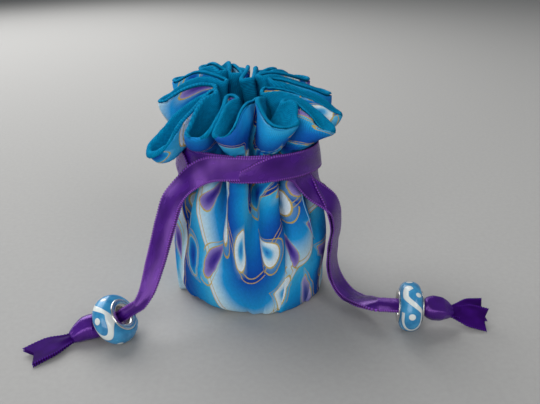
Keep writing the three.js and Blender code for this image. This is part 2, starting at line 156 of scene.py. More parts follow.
def paint(code: str) -> tuple[float, float, float, float]:
    """Linear colour of a hex code.

    Args:
        code: Red, green and blue as six digits, such as 2f8cc0.

    Returns:
        Colour for a socket.
    """
    shares = [int(code[i:i + 2], 16) / 255 for i in (0, 2, 4)]
    red, green, blue = (s / 12.92 if s <= 0.04045 else ((s + 0.055) / 1.055) ** 2.4 for s in shares)
    return (red, green, blue, 1.0)


class Socket:
    """Output socket of a shader node, whose arithmetic adds Math nodes."""

    def __init__(self, tree: "ShaderTree", link: bpy.types.NodeSocket) -> None:
        """Wraps one socket of a tree."""
        self.tree = tree
        self.link = link

    def math(self, operation: str, *others: "Socket | float") -> "Socket":
        """Math node with this socket first."""
        return self.tree.math(operation, self, *others)

    def __add__(self, other: "Socket | float") -> "Socket":
        """Sum."""
        return self.math("ADD", other)

    __radd__ = __add__

    def __sub__(self, other: "Socket | float") -> "Socket":
        """Difference."""
        return self.math("SUBTRACT", other)

    def __rsub__(self, other: float) -> "Socket":
        """Difference from a number."""
        return self.tree.math("SUBTRACT", other, self)

    def __mul__(self, other: "Socket | float") -> "Socket":
        """Product."""
        return self.math("MULTIPLY", other)

    __rmul__ = __mul__

    def __truediv__(self, other: "Socket | float") -> "Socket":
        """Quotient."""
        return self.math("DIVIDE", other)

    def __abs__(self) -> "Socket":
        """Absolute value."""
        return self.math("ABSOLUTE")

    def far(self, other: "Socket") -> "Socket":
        """Distance from the origin, with this and the other as its two ways."""
        return (self * self + other * other).math("SQRT")

    def rise(self, low: float, high: float) -> "Socket":
        """Smooth rise from 0 where this is low to 1 where it is high."""
        sockets = {0: self, 1: low, 2: high, 3: 0.0, 4: 1.0}
        return self.tree.add("ShaderNodeMapRange", {"interpolation_type": "SMOOTHSTEP"}, sockets)

    def fall(self, low: float, high: float) -> "Socket":
        """Smooth fall from 1 where this is low to 0 where it is high."""
        return 1 - self.rise(low, high)

    def ramp(self, *stops: tuple[float, str]) -> "Socket":
        """Colour ramp with stops of a place and a hex code."""
        return self.tree.add("ShaderNodeValToRGB", {"stops": stops}, {0: self})

    def vector(self, operation: str, other: "Socket | tuple[float, float, float]") -> "Socket":
        """Vector Math node with this socket first."""
        return self.tree.add("ShaderNodeVectorMath", {"operation": operation}, {0: self, 1: other})

    def scaled(self, factor: "Socket | float") -> "Socket":
        """Vector times a number."""
        return self.tree.add("ShaderNodeVectorMath", {"operation": "SCALE"}, {0: self, "Scale": factor})

    def parts(self) -> tuple["Socket", "Socket", "Socket"]:
        """The three numbers of a vector."""
        node = self.tree.add("ShaderNodeSeparateXYZ", {}, {0: self}).link.node
        return tuple(Socket(self.tree, node.outputs[i]) for i in range(3))


class ShaderTree:
    """Node tree of one material."""

    def __init__(self, name: str) -> None:
        """Starts an empty material.

        Args:
            name: Name of the material.
        """
        self.material = bpy.data.materials.new(name)
        self.material.use_nodes = True
        self.nodes = self.material.node_tree.nodes
        self.links = self.material.node_tree.links
        self.nodes.clear()

    def add(self, kind: str, settings: dict, sockets: dict, output: int | str = 0) -> Socket:
        """Adds any node.

        Args:
            kind: Blender's name of the node.
            settings: Values set on the node before its sockets; stops fill a colour ramp.
            sockets: Values or links of its inputs, by name or place.
            output: Name or place of the output that is given back.

        Returns:
            The output, as a socket for expressions.
        """
        node = self.nodes.new(kind)
        for name, value in settings.items():
            if name == "stops":
                self._fill_ramp(node.color_ramp, value)
            else:
                setattr(node, name, value)
        for place, value in sockets.items():
            if isinstance(value, Socket):
                self.links.new(value.link, node.inputs[place])
            else:
                node.inputs[place].default_value = value
        return Socket(self, node.outputs[output])

    @staticmethod
    def _fill_ramp(ramp: bpy.types.ColorRamp, stops: tuple[tuple[float, str], ...]) -> None:
        """Sets a ramp's stops in order.

        Args:
            ramp: Ramp of a new node.
            stops: Place and hex code of each stop.
        """
        while len(ramp.elements) < len(stops):
            ramp.elements.new(1.0)
        for element, (place, code) in zip(ramp.elements, stops):
            element.position = place
            element.color = paint(code)

    def math(self, operation: str, *values: Socket | float) -> Socket:
        """Math node of the given values."""
        return self.add("ShaderNodeMath", {"operation": operation}, dict(enumerate(values)))

    def blend(self, low: Socket | tuple, high: Socket | tuple, share: Socket | float) -> Socket:
        """Colour a share of the way from low to high."""
        return self.add("ShaderNodeMix", {"data_type": "RGBA"}, {0: share, 6: low, 7: high}, 2)

    def uv(self, name: str) -> Socket:
        """The piece's own UV map."""
        return self.add("ShaderNodeUVMap", {"uv_map": name}, {})

    def place(self) -> Socket:
        """Object coordinates."""
        return self.add("ShaderNodeTexCoord", {}, {}, "Object")

    def noise(self, where: Socket, scale: float, detail: float) -> Socket:
        """Soft noise of a scale."""
        return self.add("ShaderNodeTexNoise", {}, {"Vector": where, "Scale": scale, "Detail": detail})

    def bump(self, height: Socket, strength: float, distance: float) -> Socket:
        """Normal bent by a height."""
        return self.add("ShaderNodeBump", {}, {"Height": height, "Strength": strength, "Distance": distance})

    def surface(self, sockets: dict) -> bpy.types.Material:
        """Ends the tree in a Principled shader.

        Args:
            sockets: Values or links of the shader's inputs.

        Returns:
            The finished material.
        """
        shader = self.add("ShaderNodeBsdfPrincipled", {}, sockets)
        end = self.nodes.new("ShaderNodeOutputMaterial")
        self.links.new(shader.link, end.inputs["Surface"])
        return self.material


# Finishes, with sizes in millimetres


@dataclass(frozen=True)
class Cotton:
    """What both cottons share: a plain weave on the flat round that each cloth is cut as."""

    cut: float = CLOTH_CUT / MM
    weave_pitch: float = 0.45
    weave_height: float = 0.18

    def ground(self, tree: ShaderTree) -> tuple[Socket, Socket, Socket]:
        """Weave of the cloth.

        Args:
            tree: Tree that gets the nodes.

        Returns:
            Place on the flat round, over and under of the weave from -1 to 1, and the normal that it bends.
        """
        flat = tree.uv("flat_cut").scaled(self.cut)
        x, y, _ = flat.parts()
        turn = 2 * math.pi / self.weave_pitch
        weave = (x * turn).math("SINE") * (y * turn).math("SINE")
        grain = weave + tree.noise(flat, 3.5, 3.0)
        return flat, weave, tree.bump(grain, 0.5, self.weave_height * MM)


@dataclass(frozen=True)
class PrintedCotton(Cotton):
    """Quilting cotton with a generic marbled print of flowing bands and drops with metallic outlines."""

    band_width: float = 17.0
    drop_spacing: float = 15.0
    drop_length: float = 5.6
    drop_width: float = 3.3
    outline_colour: str = "d2b446"

    def material(self) -> bpy.types.Material:
        """Builds the finish.

        Returns:
            The new material.
        """
        tree = ShaderTree("printed_cotton")
        flat, weave, normal = self.ground(tree)
        x, y, _ = flat.parts()
        sway = x + 7.0 * (y * 0.1 + 1.0).math("SINE")
        rise = y + 6.5 * (sway * 0.1).math("SINE")
        curl = sway + 2.5 * (rise * 0.2 + 0.6).math("SINE")
        ground, band_line = self._bands(tree, curl)
        where = tree.add("ShaderNodeCombineXYZ", {}, {0: sway, 1: rise})
        colour, outline = self._drops(tree, where, ground, band_line)
        line = outline * (0.45 + 0.55 * tree.noise(flat, 2.4, 2.0).rise(0.25, 0.6))
        mottle = tree.noise(flat, 1.1, 4.0)
        shaded = colour.scaled(0.8 + 0.36 * mottle + 0.22 * weave)
        return tree.surface({
            "Base Color": tree.blend(shaded, paint(self.outline_colour), line),
            "Roughness": 0.86 - 0.3 * line,
            "Metallic": 0.3 * line,
            "Specular IOR Level": 0.15,
            "Normal": normal,
        })

    def _bands(self, tree: ShaderTree, curl: Socket) -> tuple[Socket, Socket]:
        """Flowing bands, each in its own dye, and the lines between them.

        Args:
            tree: Tree that gets the nodes.
            curl: Place across the bands.

        Returns:
            Colour of the ground and mask of its lines.
        """
        phase = curl / self.band_width
        share = phase.math("FRACT")
        dye = tree.add("ShaderNodeTexWhiteNoise", {"noise_dimensions": "1D"}, {"W": phase.math("FLOOR")})
        pale = share.ramp((0.0, "0c52b2"), (0.28, "0a82cc"), (0.56, "2fa8e2"), (0.8, "a4daf2"), (1, "e8f4fc"))
        deep = share.ramp((0.0, "0a369e"), (0.35, "0a64bc"), (0.7, "1098da"), (1.0, "45bae8"))
        milky = share.ramp((0.0, "e4f1fa"), (0.2, "b8e0f4"), (0.46, "1c9ade"), (1.0, "0c50b2"))
        colour = tree.blend(tree.blend(pale, deep, dye.rise(0.38, 0.4)), milky, dye.rise(0.68, 0.7))
        edge = abs(share - 0.5)
        second = abs(share - 0.085).fall(0.006, 0.012)
        return colour, tree.math("MAXIMUM", edge.rise(0.4875, 0.4935), second)

    def _drops(self, tree: ShaderTree, where: Socket, ground: Socket,
               ground_line: Socket) -> tuple[Socket, Socket]:
        """Drops that lie in the flow of the bands, over the ground.

        Args:
            tree: Tree that gets the nodes.
            where: Place in the flow.
            ground: Colour between the drops.
            ground_line: Mask of the lines between the drops.

        Returns:
            Colour and mask of all lines.
        """
        sockets = {"Vector": where, "Scale": 1 / self.drop_spacing, "Randomness": 0.35}
        cells = tree.add("ShaderNodeTexVoronoi", {"voronoi_dimensions": "2D"}, sockets, "Position")
        turn, size, kind = Socket(tree, cells.link.node.outputs["Color"]).parts()
        angle = (turn - 0.5) * 2.4
        x, y, _ = where.vector("SUBTRACT", cells).parts()
        grown = 0.75 + 0.4 * size
        length = (x * angle.math("COSINE") + y * angle.math("SINE")) / (grown * self.drop_length)
        across = (y * angle.math("COSINE") - x * angle.math("SINE")) / (grown * self.drop_width)
        narrowed = across / (1 - 0.62 * length).math("MAXIMUM", 0.15)
        share = length.far(narrowed)
        purple = share.ramp((0.0, "35238a"), (0.45, "55409f"), (0.8, "8a7ac4"), (1.0, "a89fd4"))
        white = share.ramp((0.0, "1272c8"), (0.35, "4fb2e6"), (0.62, "d2eaf7"), (1.0, "f0f7fb"))
        blue = share.ramp((0.0, "0a2f9a"), (0.5, "0a64bc"), (0.85, "1fa0de"), (1.0, "8fd4f0"))
        fill = tree.blend(tree.blend(purple, white, kind.rise(0.36, 0.37)), blue, kind.rise(0.66, 0.67))
        present = kind.fall(0.88, 0.89)
        inside = share.fall(0.98, 1.02) * present
        over = tree.blend(ground, paint("9fd4ea"), share.fall(1.0, 1.5) * 0.35 * present)
        line = abs(share - 1.0).fall(0.035, 0.07)
        echo = abs(share - 1.36).fall(0.025, 0.055) * size.rise(0.5, 0.52)
        outline = tree.math("MAXIMUM", line, echo) * present
        return tree.blend(over, fill, inside), tree.math("MAXIMUM", ground_line * (1 - inside), outline)


@dataclass(frozen=True)
class TealCotton(Cotton):
    """Plain teal cotton of the lining."""

    weave_pitch: float = 0.5

    def material(self) -> bpy.types.Material:
        """Builds the finish.

        Returns:
            The new material.
        """
        tree = ShaderTree("teal_cotton")
        flat, weave, normal = self.ground(tree)
        mottle = tree.noise(flat, 0.9, 4.0)
        share = mottle.rise(0.3, 0.7) * 0.6 + weave * 0.75 + 0.15
        return tree.surface({
            "Base Color": tree.blend(paint("026c99"), paint("0592c2"), share),
            "Roughness": 0.86 + 0.1 * mottle,
            "Specular IOR Level": 0.03,
            "Normal": normal,
        })


class SatinSide(Enum):
    """Sides of the satin ribbon."""

    FACE = "satin_face"
    BACK = "satin_back"


@dataclass(frozen=True)
class PurpleSatin:
    """Satin ribbon with fine cross ribs and looped edges, glossy on its face and dull on its back. Its colour
    has painted sheen in streaks, painted highlights on the edge loops with painted shade in the gaps between
    them, and painted shade that darkens the back.
    """

    side: SatinSide
    rib_pitch: float = 0.3
    loop_pitch: float = 0.62
    rib_height: float = 0.05
    width: float = RIBBON_WIDTH / MM
    sheen_colour: str = "c88af5"

    def material(self) -> bpy.types.Material:
        """Builds the finish.

        Returns:
            The new material.
        """
        tree = ShaderTree(self.side.value)
        glossy = self.side is SatinSide.FACE
        # The back's colours are darker than the face's as painted shade on the tails, which wear the back;
        # its duller gloss is real.
        low, high, loop = ("2c045c", "430f80", "8344b8") if glossy else ("240349", "370b6b", "4a1c86")
        flat = tree.uv("ribbon")
        across, length, _ = flat.parts()
        turn = 2 * math.pi * self.width
        ribs = (length * (turn / self.rib_pitch)).math("SINE")
        loops = (length * (turn / self.loop_pitch)).math("SINE").rise(-0.6, 0.6)
        # Painted sheen: the cloud's streaks along the ribbon lighten and darken the body colour; its change
        # of roughness is real.
        cloud = tree.noise(flat.vector("MULTIPLY", (1.6, 0.8, 1.0)), 1.0, 2.0)
        edge = abs(across - 0.5).rise(0.43, 0.46)
        body = tree.blend(paint(low), paint(high), cloud.rise(0.25, 0.75) + ribs * 0.12)
        # Painted highlight on the edge loops and painted shade in the dark gaps between them; the loops' bump
        # is real.
        painted_loop_highlight_and_gap_shade = tree.blend(paint("220540"), paint(loop), loops)
        return tree.surface({
            "Base Color": tree.blend(body, painted_loop_highlight_and_gap_shade, edge),
            "Roughness": (0.24 if glossy else 0.6) + 0.06 * cloud + 0.2 * edge,
            "IOR": 1.7 if glossy else 1.3,
            "Specular IOR Level": 1.0 if glossy else 0.3,
            "Specular Tint": paint(self.sheen_colour),
            "Normal": tree.bump(ribs + loops * edge * 3.0, 0.3, self.rib_height * MM),
        })


@dataclass(frozen=True)
class BlueGlass:
    """Blue lampwork glass with raised white scrolls and dots, on a bead whose centre is given in metres."""

    name: str
    centre: tuple[float, float, float]
    turn: tuple[float, float, float]
    start: float
    hand: int
    stroke: float
    radius: float = 6.6
    scrolls: int = 2
    thin_stroke: float = 0.1
    relief: float = 0.2

    def material(self) -> bpy.types.Material:
        """Builds the finish.

        Returns:
            The new material.
        """
        tree = ShaderTree(self.name)
        sockets = {"Vector": tree.place(), "Location": self.centre, "Rotation": self.turn}
        local = tree.add("ShaderNodeMapping", {"vector_type": "TEXTURE"}, sockets).scaled(1 / MM)
        x, y, z = local.parts()
        circle = 2 * math.pi
        share = (y.math("ARCTAN2", x) / circle + (1.5 / self.scrolls - self.start + 1)) * self.scrolls
        up = (share.math("FRACT") - 0.5) * (self.hand * circle * self.radius / self.scrolls)
        white = self._scroll(tree, z * -self.hand, up)
        cloud = tree.noise(local, 0.4, 3.0)
        glass = tree.blend(paint("2479ad"), paint("3d96c6"), cloud.rise(0.3, 0.7))
        milk = tree.blend(paint("e6ebe6"), paint("cfd8d8"), cloud)
        return tree.surface({
            "Base Color": tree.blend(glass, milk, white),
            "Roughness": 0.22 + 0.08 * cloud,
            "Coat Weight": 0.35,
            "Coat Roughness": 0.1,
            "IOR": 1.45,
            "Normal": tree.bump(white, 0.5, self.relief * MM),
        })

    def _scroll(self, tree: ShaderTree, side: Socket, up: Socket) -> Socket:
        """White scroll with a hook above, a slanting stem, a loop below and dots.

        Args:
            tree: Tree that gets the nodes.
            side: Place along the bead's axis.
            up: Place round the bead from the scroll's middle.

        Returns:
            Mask of the white glass.
        """
        head = ((side + 1.0) / 1.3).far((up - 5.5) / 1.7).fall(0.95, 1.06)
        hook = head * (up - side * 0.75).rise(5.75, 5.95)
        lean = up.fall(-1.2, 3.9)
        width = lean * (1 - lean) * 2.2 - lean * 0.36
        stem = (abs(side - lean * 4.2 + 1.72) - width).fall(0.6, 0.74)
        stem = stem * up.rise(-1.4, -1.1) * up.fall(5.4, 5.6)
        swell = (self.stroke - self.thin_stroke) * up.fall(-3.4, -0.8)
        ring = abs(((side - 0.12) / 2.37).far((up + 3.0).math("MINIMUM", 0.0) / 4.0) - 1.0)
        loop = (ring - swell).fall(self.thin_stroke, self.thin_stroke + 0.05) * up.fall(-1.2, -0.9)
        dot = (side + 0.05).far(up + 1.95).fall(0.8, 0.95)
        small = (side - 1.5).far(up - 4.2).fall(0.62, 0.76)
        between = (side + 0.4).far(up - 9.4).fall(0.74, 0.88)
        white = hook
        for part in (stem, loop, dot, small, between):
            white = tree.math("MAXIMUM", white, part)
        return white


@dataclass(frozen=True)
class SpeckledFinish:
    """Plain finish with fine specks of a second tone."""

    name: str
    scale: float
    low: str
    high: str
    roughness: float
    wear: float = 0.0
    metallic: float = 0.0
    specular: float = 0.5
    detail: float = 2.0

    def material(self) -> bpy.types.Material:
        """Builds the finish.

        Returns:
            The new material.
        """
        tree = ShaderTree(self.name)
        specks = tree.noise(tree.place(), self.scale, self.detail)
        return tree.surface({
            "Base Color": tree.blend(paint(self.low), paint(self.high), specks),
            "Metallic": self.metallic,
            "Roughness": self.roughness + self.wear * specks,
            "Specular IOR Level": self.specular,
        })


SILVER_METAL = SpeckledFinish(
    "silver_metal", 900.0, "d9d7d2", "eceae6", 0.2, wear=0.1, metallic=1.0, detail=3.0,
)
PALE_THREAD = SpeckledFinish("pale_thread", 4000.0, "4f9fd4", "9ccbe8", 0.8)
PALE_FLOOR = SpeckledFinish("pale_floor", 700.0, "a09f9d", "a9a8a6", 0.9, specular=0.2)


# Mesh helpers


def wrapped_grid(points: np.ndarray, coords: np.ndarray, uv_name: str, closed: bool) -> bmesh.types.BMesh:
    """Lays a grid onto rows of points.

    Args:
        points: Points by row and column.
        coords: UV coordinates by row and column.
        uv_name: Name of the UV map.
        closed: Whether the first and last column meet, and the end rows may meet in poles.

    Returns:
        The mesh, with its seam and poles merged.
    """
    rows, columns = points.shape[:2]
    mesh = bmesh.new()
    bmesh.ops.create_grid(mesh, x_segments=columns - 1, y_segments=rows - 1, size=0.5)
    mesh.verts.ensure_lookup_table()
    for vertex, at in zip(mesh.verts, points.reshape(-1, 3)):
        vertex.co = at
    layer = mesh.loops.layers.uv.new(uv_name)
    flat = coords.reshape(-1, 2)
    for face in mesh.faces:
        face.smooth = True
        for loop in face.loops:
            loop[layer].uv = flat[loop.vert.index]
    if closed:
        bmesh.ops.remove_doubles(mesh, verts=mesh.verts, dist=WELD)
        bmesh.ops.recalc_face_normals(mesh, faces=mesh.faces)
    return mesh


def closed_ring(values: np.ndarray) -> np.ndarray:
    """Rows of values with the first column repeated at the end."""
    return np.concatenate([values, values[:, :1]], axis=1)


def ring_steps(points: np.ndarray) -> np.ndarray:
    """Lengths of the steps round each ring of points, back to its first."""
    return np.linalg.norm(np.diff(closed_ring(points), axis=1), axis=2)


def swept(line: np.ndarray, ways: np.ndarray, reach: np.ndarray) -> np.ndarray:
    """Tube about a line, closed at both ends.

    Args:
        line: Points of the line.
        ways: Its way at each of them.
        reach: Radius by point and by angle up from the level side, all the way round.

    Returns:
        Points by row and column.
    """
    turns = np.linspace(0.0, 2 * math.pi, reach.shape[1])[:, None]
    across = unit(np.cross(UP, ways))[:, None]
    upward = np.cross(ways[:, None], across)
    tube = line[:, None] + (across * np.cos(turns) + upward * np.sin(turns)) * reach[:, :, None]
    ends = np.repeat(line[[0, -1], None], len(turns), axis=1)
    return np.concatenate([ends[:1], tube, ends[1:]])


def add_object(name: str, data: bpy.types.ID) -> bpy.types.Object:
    """Adds an object to the scene.

    Args:
        name: Its name.
        data: Its mesh, camera or lamp.

    Returns:
        The new object.
    """
    thing = bpy.data.objects.new(name, data)
    bpy.context.scene.collection.objects.link(thing)
    return thing


def add_mesh(name: str, mesh: bmesh.types.BMesh, material: bpy.types.Material) -> bpy.types.Object:
    """Adds a finished mesh to the scene.

    Args:
        name: Name of the object.
        mesh: Its mesh, which is used up.
        material: Its finish.

    Returns:
        The new object.
    """
    data = bpy.data.meshes.new(name)
    mesh.to_mesh(data)
    mesh.free()
    data.materials.append(material)
    return add_object(name, data)


@dataclass
class Piece:
    """What a finished mesh becomes in the scene."""

    name: str
    body: Body
    node: str
    slot: Slot
    material: bpy.types.Material
    thickness: float = 0.0

    def place(self, mesh: bmesh.types.BMesh) -> bpy.types.Object:
        """Makes the object, gives it its thickness and finish, and ties it to its body.

        Args:
            mesh: Finished mesh in the row frame.

        Returns:
            The new object.
        """
        thing = add_mesh(self.name, mesh, self.material)
        if self.thickness:
            wall = thing.modifiers.new("thickness", "SOLIDIFY")
            wall.thickness = self.thickness
            wall.offset = 0.0
        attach(thing, self.body.value)
        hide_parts(self.node)
        LOG.info("%s: %d faces", self.name, len(thing.data.polygons))
        return thing


# Cloth


@dataclass(frozen=True)
class Gather:
    """One outward fold of the cloth and the valley that follows it, in degrees and metres."""

    neck_tip: float
    neck_valley: float
    neck_valley_radius: float
    fading: float
    rim_tip: float
    flare: float
    rise: float
    half_width: float
    curl: float
    rim_valley: float
    rim_valley_radius: float
    rim_valley_rise: float
    drift: float = 0.0
    sag: float = 0.0


GATHERS = (
    Gather(-68, -55, 0.0092, 1.3, -66, 0.0094, -0.0008, 0.0034, 0.003, -60, 0.0105, 0.0142, 0, 0.0055),
    Gather(-40, -22, 0.009, 1.0, -36, 0.0054, 0.0046, 0.0034, 0.0018, -40, 0.0065, 0.0132, 0, 0.002),
    Gather(-9, 5, 0.0088, 0.55, -18, 0.0036, 0.006, 0.002, 0.0016, 18, 0.0058, 0.0128, 3.5),
    Gather(20, 29, 0.0088, 0.7, 28, 0.0034, 0.0088, 0.0048, 0.001, 50, 0.0115, 0.0116, 2),
    Gather(46, 60, 0.009, 1.0, 62, 0.0066, 0.0058, 0.0034, 0.0018, 66, 0.0042, 0.0132),
    Gather(75, 90, 0.0092, 1.2, 87, 0.0082, 0.0066, 0.0032, 0.0025, 100, 0.0068, 0.0146),
    Gather(104, 117, 0.0092, 1.2, 112, 0.0069, 0.0105, 0.0036, 0.0015, 127.5, 0.0044, 0.015),
    Gather(130, 143, 0.0092, 1.2, 137, 0.0054, 0.0128, 0.003, 0.001, 152.5, 0.0072, 0.0148),
    Gather(157, 170, 0.0092, 1.2, 164, 0.0048, 0.0134, 0.0034, 0.001, 180, 0.0036, 0.0145),
    Gather(184, 197, 0.0092, 1.2, 191, 0.0044, 0.0138, 0.003, 0.001, 206, 0.0074, 0.0155),
    Gather(211, 224, 0.0092, 1.2, 216, 0.0052, 0.0156, 0.0036, 0.001, 229, 0.0088, 0.016),
    Gather(238, 251, 0.0092, 1.2, 241, 0.0056, 0.0126, 0.003, 0.0015, 254, 0.0054, 0.0148),
    Gather(265, 278, 0.0092, 1.2, 265, 0.0058, 0.0096, 0.003, 0.002, 279, 0.0088, 0.0142),
)


class Zone(Enum):
    """Stretches of the cloth from the middle of its base to the rim."""

    BASE = "base"
    ROUNDING = "rounding"
    SHOULDER = "shoulder"
    RUFFLE = "ruffle"


@dataclass
class GatheredForm:
    """Surface where the outer cloth and the lining meet."""

    floor: float = 0.00065
    pole_radius: float = 1e-9
    base_radius: float = 0.017
    base_corners: tuple[tuple[float, float], ...] = (
        (-91, 0.0042), (-50, -0.0012), (-12, -0.0018), (35, 0.0014), (84, 0.0036), (130, 0.001), (180, 0.0),
        (225, 0.001), (269, 0.0042),
    )
    belly_radius: float = 0.0212
    belly_height: float = 0.014
    neck_radius: float = 0.0176
    neck_low: float = 0.0388
    neck_high: float = 0.046
    neck_tilt: float = 0.0016
    shoulder_fullness: float = 1.8
    fold_growth: float = 1.5
    fold_onset: float = 0.3
    belly_fold_share: float = 0.08
    valley_half_width: float = 0.0011
    rim_valley_half_width: float = 0.0015
    low_valley_half_width: float = 0.0017
    gather_fill: float = 0.29
    ruffle_flare: float = 0.75
    ruffle_lag: float = 1.35
    ruffle_puff: float = 0.0012
    mouth_lag: float = 1.4
    arc_depth_limit: float = 0.45
    tip_arc: tuple[int, ...] = (-80, -40, 0, 40, 80)
    valley_arc: tuple[int, ...] = (-60, 0, 60)
    falling_wall: tuple[float, ...] = (0.35, 0.7)
    rising_wall: tuple[float, ...] = (0.3, 0.65)
    wall_bulge: float = 0.5
    bulge_onset: float = 0.5
    wall_arch: float = 0.0019
    closed_half_width: float = 0.0016
    lump_body: float = 0.0013
    lump_neck: float = 0.0003
    lump_rim: float = 0.0017
    lump_onset: float = 0.8
    lump_scale: float = 85.0
    crease_share: float = 0.25
    crease_scale: tuple[float, float, float] = (240.0, 240.0, 90.0)
    crease_start: tuple[float, float, float] = (0.0, 0.0, 7.0)
    pleat_height: float = 0.00022
    pleat_growth: int = 5
    pleat_fading: float = 3.0
    pleat_pitch: float = 0.0024
    pleat_wander: float = 2.5
    wander_scale: float = 160.0
    span_steps: int = 3
    base_rows: int = 5
    rounding_rows: int = 9
    shoulder_rows: int = 22
    ruffle_rows: int = 26
    seed: int = 2

    def tilt(self, degrees: float) -> float:
        """Rise of the neck at an angle, as it leans."""
        return self.neck_tilt * math.cos(math.radians(degrees))

    def tip_half_width(self, i: int, radius: float) -> float:
        """Half width of a fold's tip on the body."""
        before = GATHERS[i - 1].neck_valley - (360 if i == 0 else 0)
        return self.gather_fill * math.radians(GATHERS[i].neck_valley - before) * radius

    def gather_ring(self, tips: list[tuple], valleys: list[tuple], bulge: float = 0.0) -> np.ndarray:
        """One ring of the gathers.

        Args:
            tips: Angle, radius, height and half width of each tip.
            valleys: The same of each valley.
            bulge: Share of the walls' swelling.

        Returns:
            Smooth closed ring of points.
        """
        count = len(tips)
        arcs = []
        for i in range(count):
            after = tips[(i + 1) % count]
            tip = self.arc(tips[i], self.tip_arc, -1, valleys[i - 1], valleys[i])
            arcs.append((tip, self.arc(valleys[i], self.valley_arc, 1, tips[i], after)))
        ring = []
        for i, (tip, valley) in enumerate(arcs):
            after = (i + 1) % count
            ring += tip + self.wall(tip[-1], valley[0], tips[i][3], bulge, self.falling_wall)
            ring += valley + self.wall(valley[-1], arcs[after][0][0], tips[after][3], bulge, self.rising_wall)
        return through(np.array(ring), [self.span_steps] * len(ring), closed=True)

    def arc(self, middle: tuple, turns: tuple[int, ...], sign: int, low: tuple,
            high: tuple) -> list[np.ndarray]:
        """Round end of a fold.

        Args:
            middle: Angle, radius, height and half width of the end.
            turns: Degrees of its points from its middle.
            sign: -1 for a tip, 1 for a valley.
            low: The fold's end before it.
            high: The one after it.

        Returns:
            The points in order.
        """
        angle, radius, height, half = middle
        points = []
        for degrees in turns:
            turn = math.radians(degrees)
            _, far_radius, far_height, _ = low if degrees < 0 else high
            depth = abs(far_radius - radius)
            climb = min(half, self.arc_depth_limit * depth) * (1 - math.cos(turn))
            rise = (far_height - height) * climb / depth if depth > 0 else 0.0
            aside = math.degrees(half * math.sin(turn) / radius)
            points.append(polar(angle + aside, radius + sign * climb, height + rise))
        return points

    def wall(self, start: np.ndarray, end: np.ndarray, half: float, bulge: float,
             shares: tuple[float, ...]) -> list[np.ndarray]:
        """Points of a fold's wall.

        Args:
            start: End of the wall that comes first round the ring.
            end: Its other end.
            half: Half width of the fold's tip.
            bulge: Share of the swelling away from the fold's middle and of the arch.
            shares: Places of the points along the wall.

        Returns:
            The points in order.
        """
        way = end - start
        aside = unit(np.cross(way, UP)) * self.wall_bulge * max(half - self.closed_half_width, 0.0)
        swell = (aside + UP * self.wall_arch) * bulge
        return [start + way * share + swell * math.sin(math.pi * share) for share in shares]

    def corner(self, degrees: float) -> float:
        """How far the base reaches beyond its mean radius.

        Args:
            degrees: Angle from the front.

        Returns:
            The reach in metres.
        """
        first = self.base_corners[0][0]
        turn = (degrees - first) % 360 + first
        for (low, near), (high, far) in zip(self.base_corners, self.base_corners[1:]):
            if low <= turn <= high:
                return mix(near, far, smooth_step(low, high, turn))
        return 0.0

    def body_ring(self, radius: float, height: float, fold: float, lean: float,
                  corners: float = 0.0) -> np.ndarray:
        """Ring on the body.

        Args:
            radius: Mean radius of its tips.
            height: Mean height.
            fold: Share of the folds' depth.
            lean: Share of the neck's tilt.
            corners: Share of the base's corners.

        Returns:
            Smooth closed ring of points.
        """
        tips = []
        valleys = []
        half = mix(self.low_valley_half_width, self.valley_half_width, fold)
        for i, gather in enumerate(GATHERS):
            depth = (self.neck_radius - gather.neck_valley_radius) * fold**gather.fading if fold > 0 else 0.0
            reach = radius + corners * self.corner(gather.neck_tip)
            rise = lean * self.tilt(gather.neck_tip)
            tips.append((gather.neck_tip, reach, height + rise, self.tip_half_width(i, reach)))
            angle = gather.neck_valley + gather.drift * (1 - fold)
            reach = radius + corners * self.corner(angle) - depth
            valleys.append((angle, reach, height + lean * self.tilt(angle), half))
        return self.gather_ring(tips, valleys)

    def ruffle_ring(self, share: float) -> np.ndarray:
        """Ring of the ruffle.

        Args:
            share: Place from the neck at 0 to the rim at 1.

        Returns:
            Smooth closed ring of points.
        """
        tips = []
        valleys = []
        bow = math.sin(math.pi * share)
        valley_half = mix(self.valley_half_width, self.rim_valley_half_width, share)
        for i, gather in enumerate(GATHERS):
            rise = mix(self.tilt(gather.neck_tip), gather.rise, share**self.ruffle_lag)
            rise += gather.curl * bow - gather.sag * bow**2
            half = mix(self.tip_half_width(i, self.neck_radius), gather.half_width, share)
            reach = self.neck_radius + gather.flare * share**self.ruffle_flare + self.ruffle_puff * bow
            tips.append((mix(gather.neck_tip, gather.rim_tip, share), reach, self.neck_high + rise, half))
            rise = mix(self.tilt(gather.neck_valley), gather.rim_valley_rise, share)
            radius = mix(gather.neck_valley_radius, gather.rim_valley_radius, share**self.mouth_lag)
            angle = mix(gather.neck_valley, gather.rim_valley, share)
            valleys.append((angle, radius, self.neck_high + rise, valley_half))
        return self.gather_ring(tips, valleys, smooth_step(0.0, self.bulge_onset, share))

